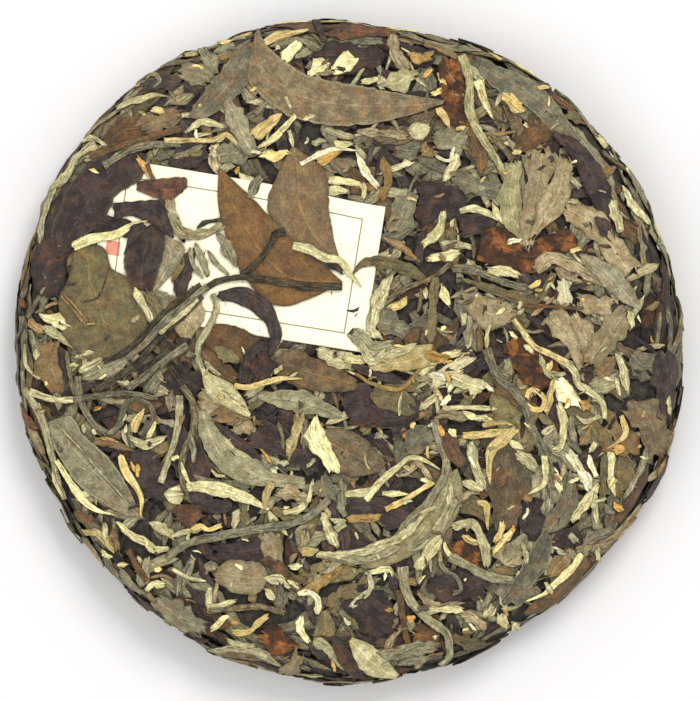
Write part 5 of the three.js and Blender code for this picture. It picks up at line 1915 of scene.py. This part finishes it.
IS_FLAT = is_kind("leaf", "torn", "scrap")
IS_STRIP = is_kind("strip")
IS_STALK = is_kind("stalk")
IS_BUD = is_kind("bud")
IS_SMALL = is_kind("strip", "scrap")


def is_broad(piece):
    return IS_FLAT(piece) and piece.width > BROAD_FROM


def is_narrow(piece):
    return IS_FLAT(piece) and piece.width <= BROAD_FROM


named_pieces = lower_pieces + upper_pieces
GROUPS = [
    # name, pieces, which of them, kind of finish, corners round
    ("bedded_leaves", lower_rule_pieces, IS_FLAT, "leaf", 12),
    ("bedded_strips", lower_rule_pieces, IS_STRIP, "strip", 10),
    ("rim_leaves", rim_pieces, IS_FLAT, "leaf", 10),
    ("rim_strips", rim_pieces, IS_STRIP, "strip", 8),
    ("rim_stalks", rim_pieces, IS_STALK, "stalk", 8),
    ("rim_buds", rim_pieces, IS_BUD, "bud", 8),
    ("shreds", shreds, IS_SMALL, "leaf", 8),
    ("crumbs", crumbs, IS_SMALL, "strip", 6),
    ("broad_leaves", named_pieces, is_broad, "broad", 30),
    ("narrow_leaves", named_pieces, is_narrow, "leaf", 18),
    ("rolled_leaves", named_pieces, IS_STRIP, "strip", 20),
    ("tea_buds", named_pieces, IS_BUD, "bud", 22),
    ("tea_stalks", named_pieces, IS_STALK, "stalk", 20),
]
UNDER_GROUPS = [
    ("underside_leaves", under_pieces, IS_FLAT, "leaf", 10),
    ("underside_strips", under_pieces, IS_STRIP, "strip", 8),
    ("underside_stalks", under_pieces, IS_STALK, "stalk", 8),
    ("underside_buds", under_pieces, IS_BUD, "bud", 8),
]


def add_piece(name, mesh, node):
    made = bpy.data.objects.new(name, mesh)
    bpy.context.scene.collection.objects.link(made)
    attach(made, "root")
    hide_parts(node)


add_piece("leaf_crumb", make_core(), "cake")
for groups, bed_height, press, is_underside in (
    (GROUPS, TOP_BED, TOP_PRESS, False),
    (UNDER_GROUPS, UNDER_BED, UNDER_PRESS, True),
):
    for name, pieces, is_wanted, finish, corners_round in groups:
        wanted = [piece for piece in pieces if is_wanted(piece)]
        bed = (bed_height, press, is_underside)
        mesh = settled(name, wanted, sweep, materials[finish], corners_round, *bed)
        add_piece(name, mesh, "cake")
add_piece("paper_ticket", make_ticket_mesh(ticket), "ticket")

# ---- Stage, light and camera -----------------------------------------------------

# In metres, apart from FRAME_MIDDLE.
FLOOR_SIZE = 6.0
FLOOR_COLOUR = (0.76, 0.742, 0.733, 1)
FLOOR_ROUGHNESS = 0.9
LIGHTS = [
    # name, place, size, power
    ("key light", (0.5, 1.0, 1.5), 0.9, 19),
    ("fill light", (-1.1, -0.9, 1.4), 1.8, 11),
]
WORLD_STRENGTH = 0.82
CAMERA_HEIGHT = 2.5
SENSOR_WIDTH = 36
FRAME_WIDTH = 0.210
FRAME_MIDDLE = (0.36 + CENTRING[0], -0.6 + CENTRING[1])
FRAME_LEVEL = 0.012


def make_floor():
    half = 0.5 * FLOOR_SIZE
    corners = [(-half, -half, 0), (half, -half, 0), (half, half, 0), (-half, half, 0)]
    mesh = bpy.data.meshes.new("floor")
    mesh.from_pydata(corners, [], [(0, 1, 2, 3)])
    material, _, shader = new_material("pale floor")
    shader.inputs["Base Color"].default_value = FLOOR_COLOUR
    shader.inputs["Roughness"].default_value = FLOOR_ROUGHNESS
    mesh.materials.append(material)
    floor = bpy.data.objects.new("floor", mesh)
    bpy.context.scene.collection.objects.link(floor)


def add_area_light(name, place, size, power):
    light = bpy.data.lights.new(name, "AREA")
    light.shape = "DISK"
    light.size = size
    light.energy = power
    lamp = bpy.data.objects.new(name, light)
    bpy.context.scene.collection.objects.link(lamp)
    lamp.location = place
    lamp.rotation_euler = lamp.location.to_track_quat("Z", "Y").to_euler()


make_floor()
for row in LIGHTS:
    add_area_light(*row)
world = bpy.data.worlds.new("soft room")
world.use_nodes = True
background = world.node_tree.nodes["Background"]
background.inputs["Color"].default_value = (1, 1, 1, 1)
background.inputs["Strength"].default_value = WORLD_STRENGTH
bpy.context.scene.world = world
bpy.context.scene.view_settings.view_transform = "Standard"

camera_data = bpy.data.cameras.new("camera")
camera_data.sensor_width = SENSOR_WIDTH
camera_data.lens = SENSOR_WIDTH * (CAMERA_HEIGHT - FRAME_LEVEL) / FRAME_WIDTH
camera_data.clip_end = 20
camera = bpy.data.objects.new("camera", camera_data)
bpy.context.scene.collection.objects.link(camera)
camera.location = (FRAME_MIDDLE[0] * MM, FRAME_MIDDLE[1] * MM, CAMERA_HEIGHT)
bpy.context.scene.camera = camera
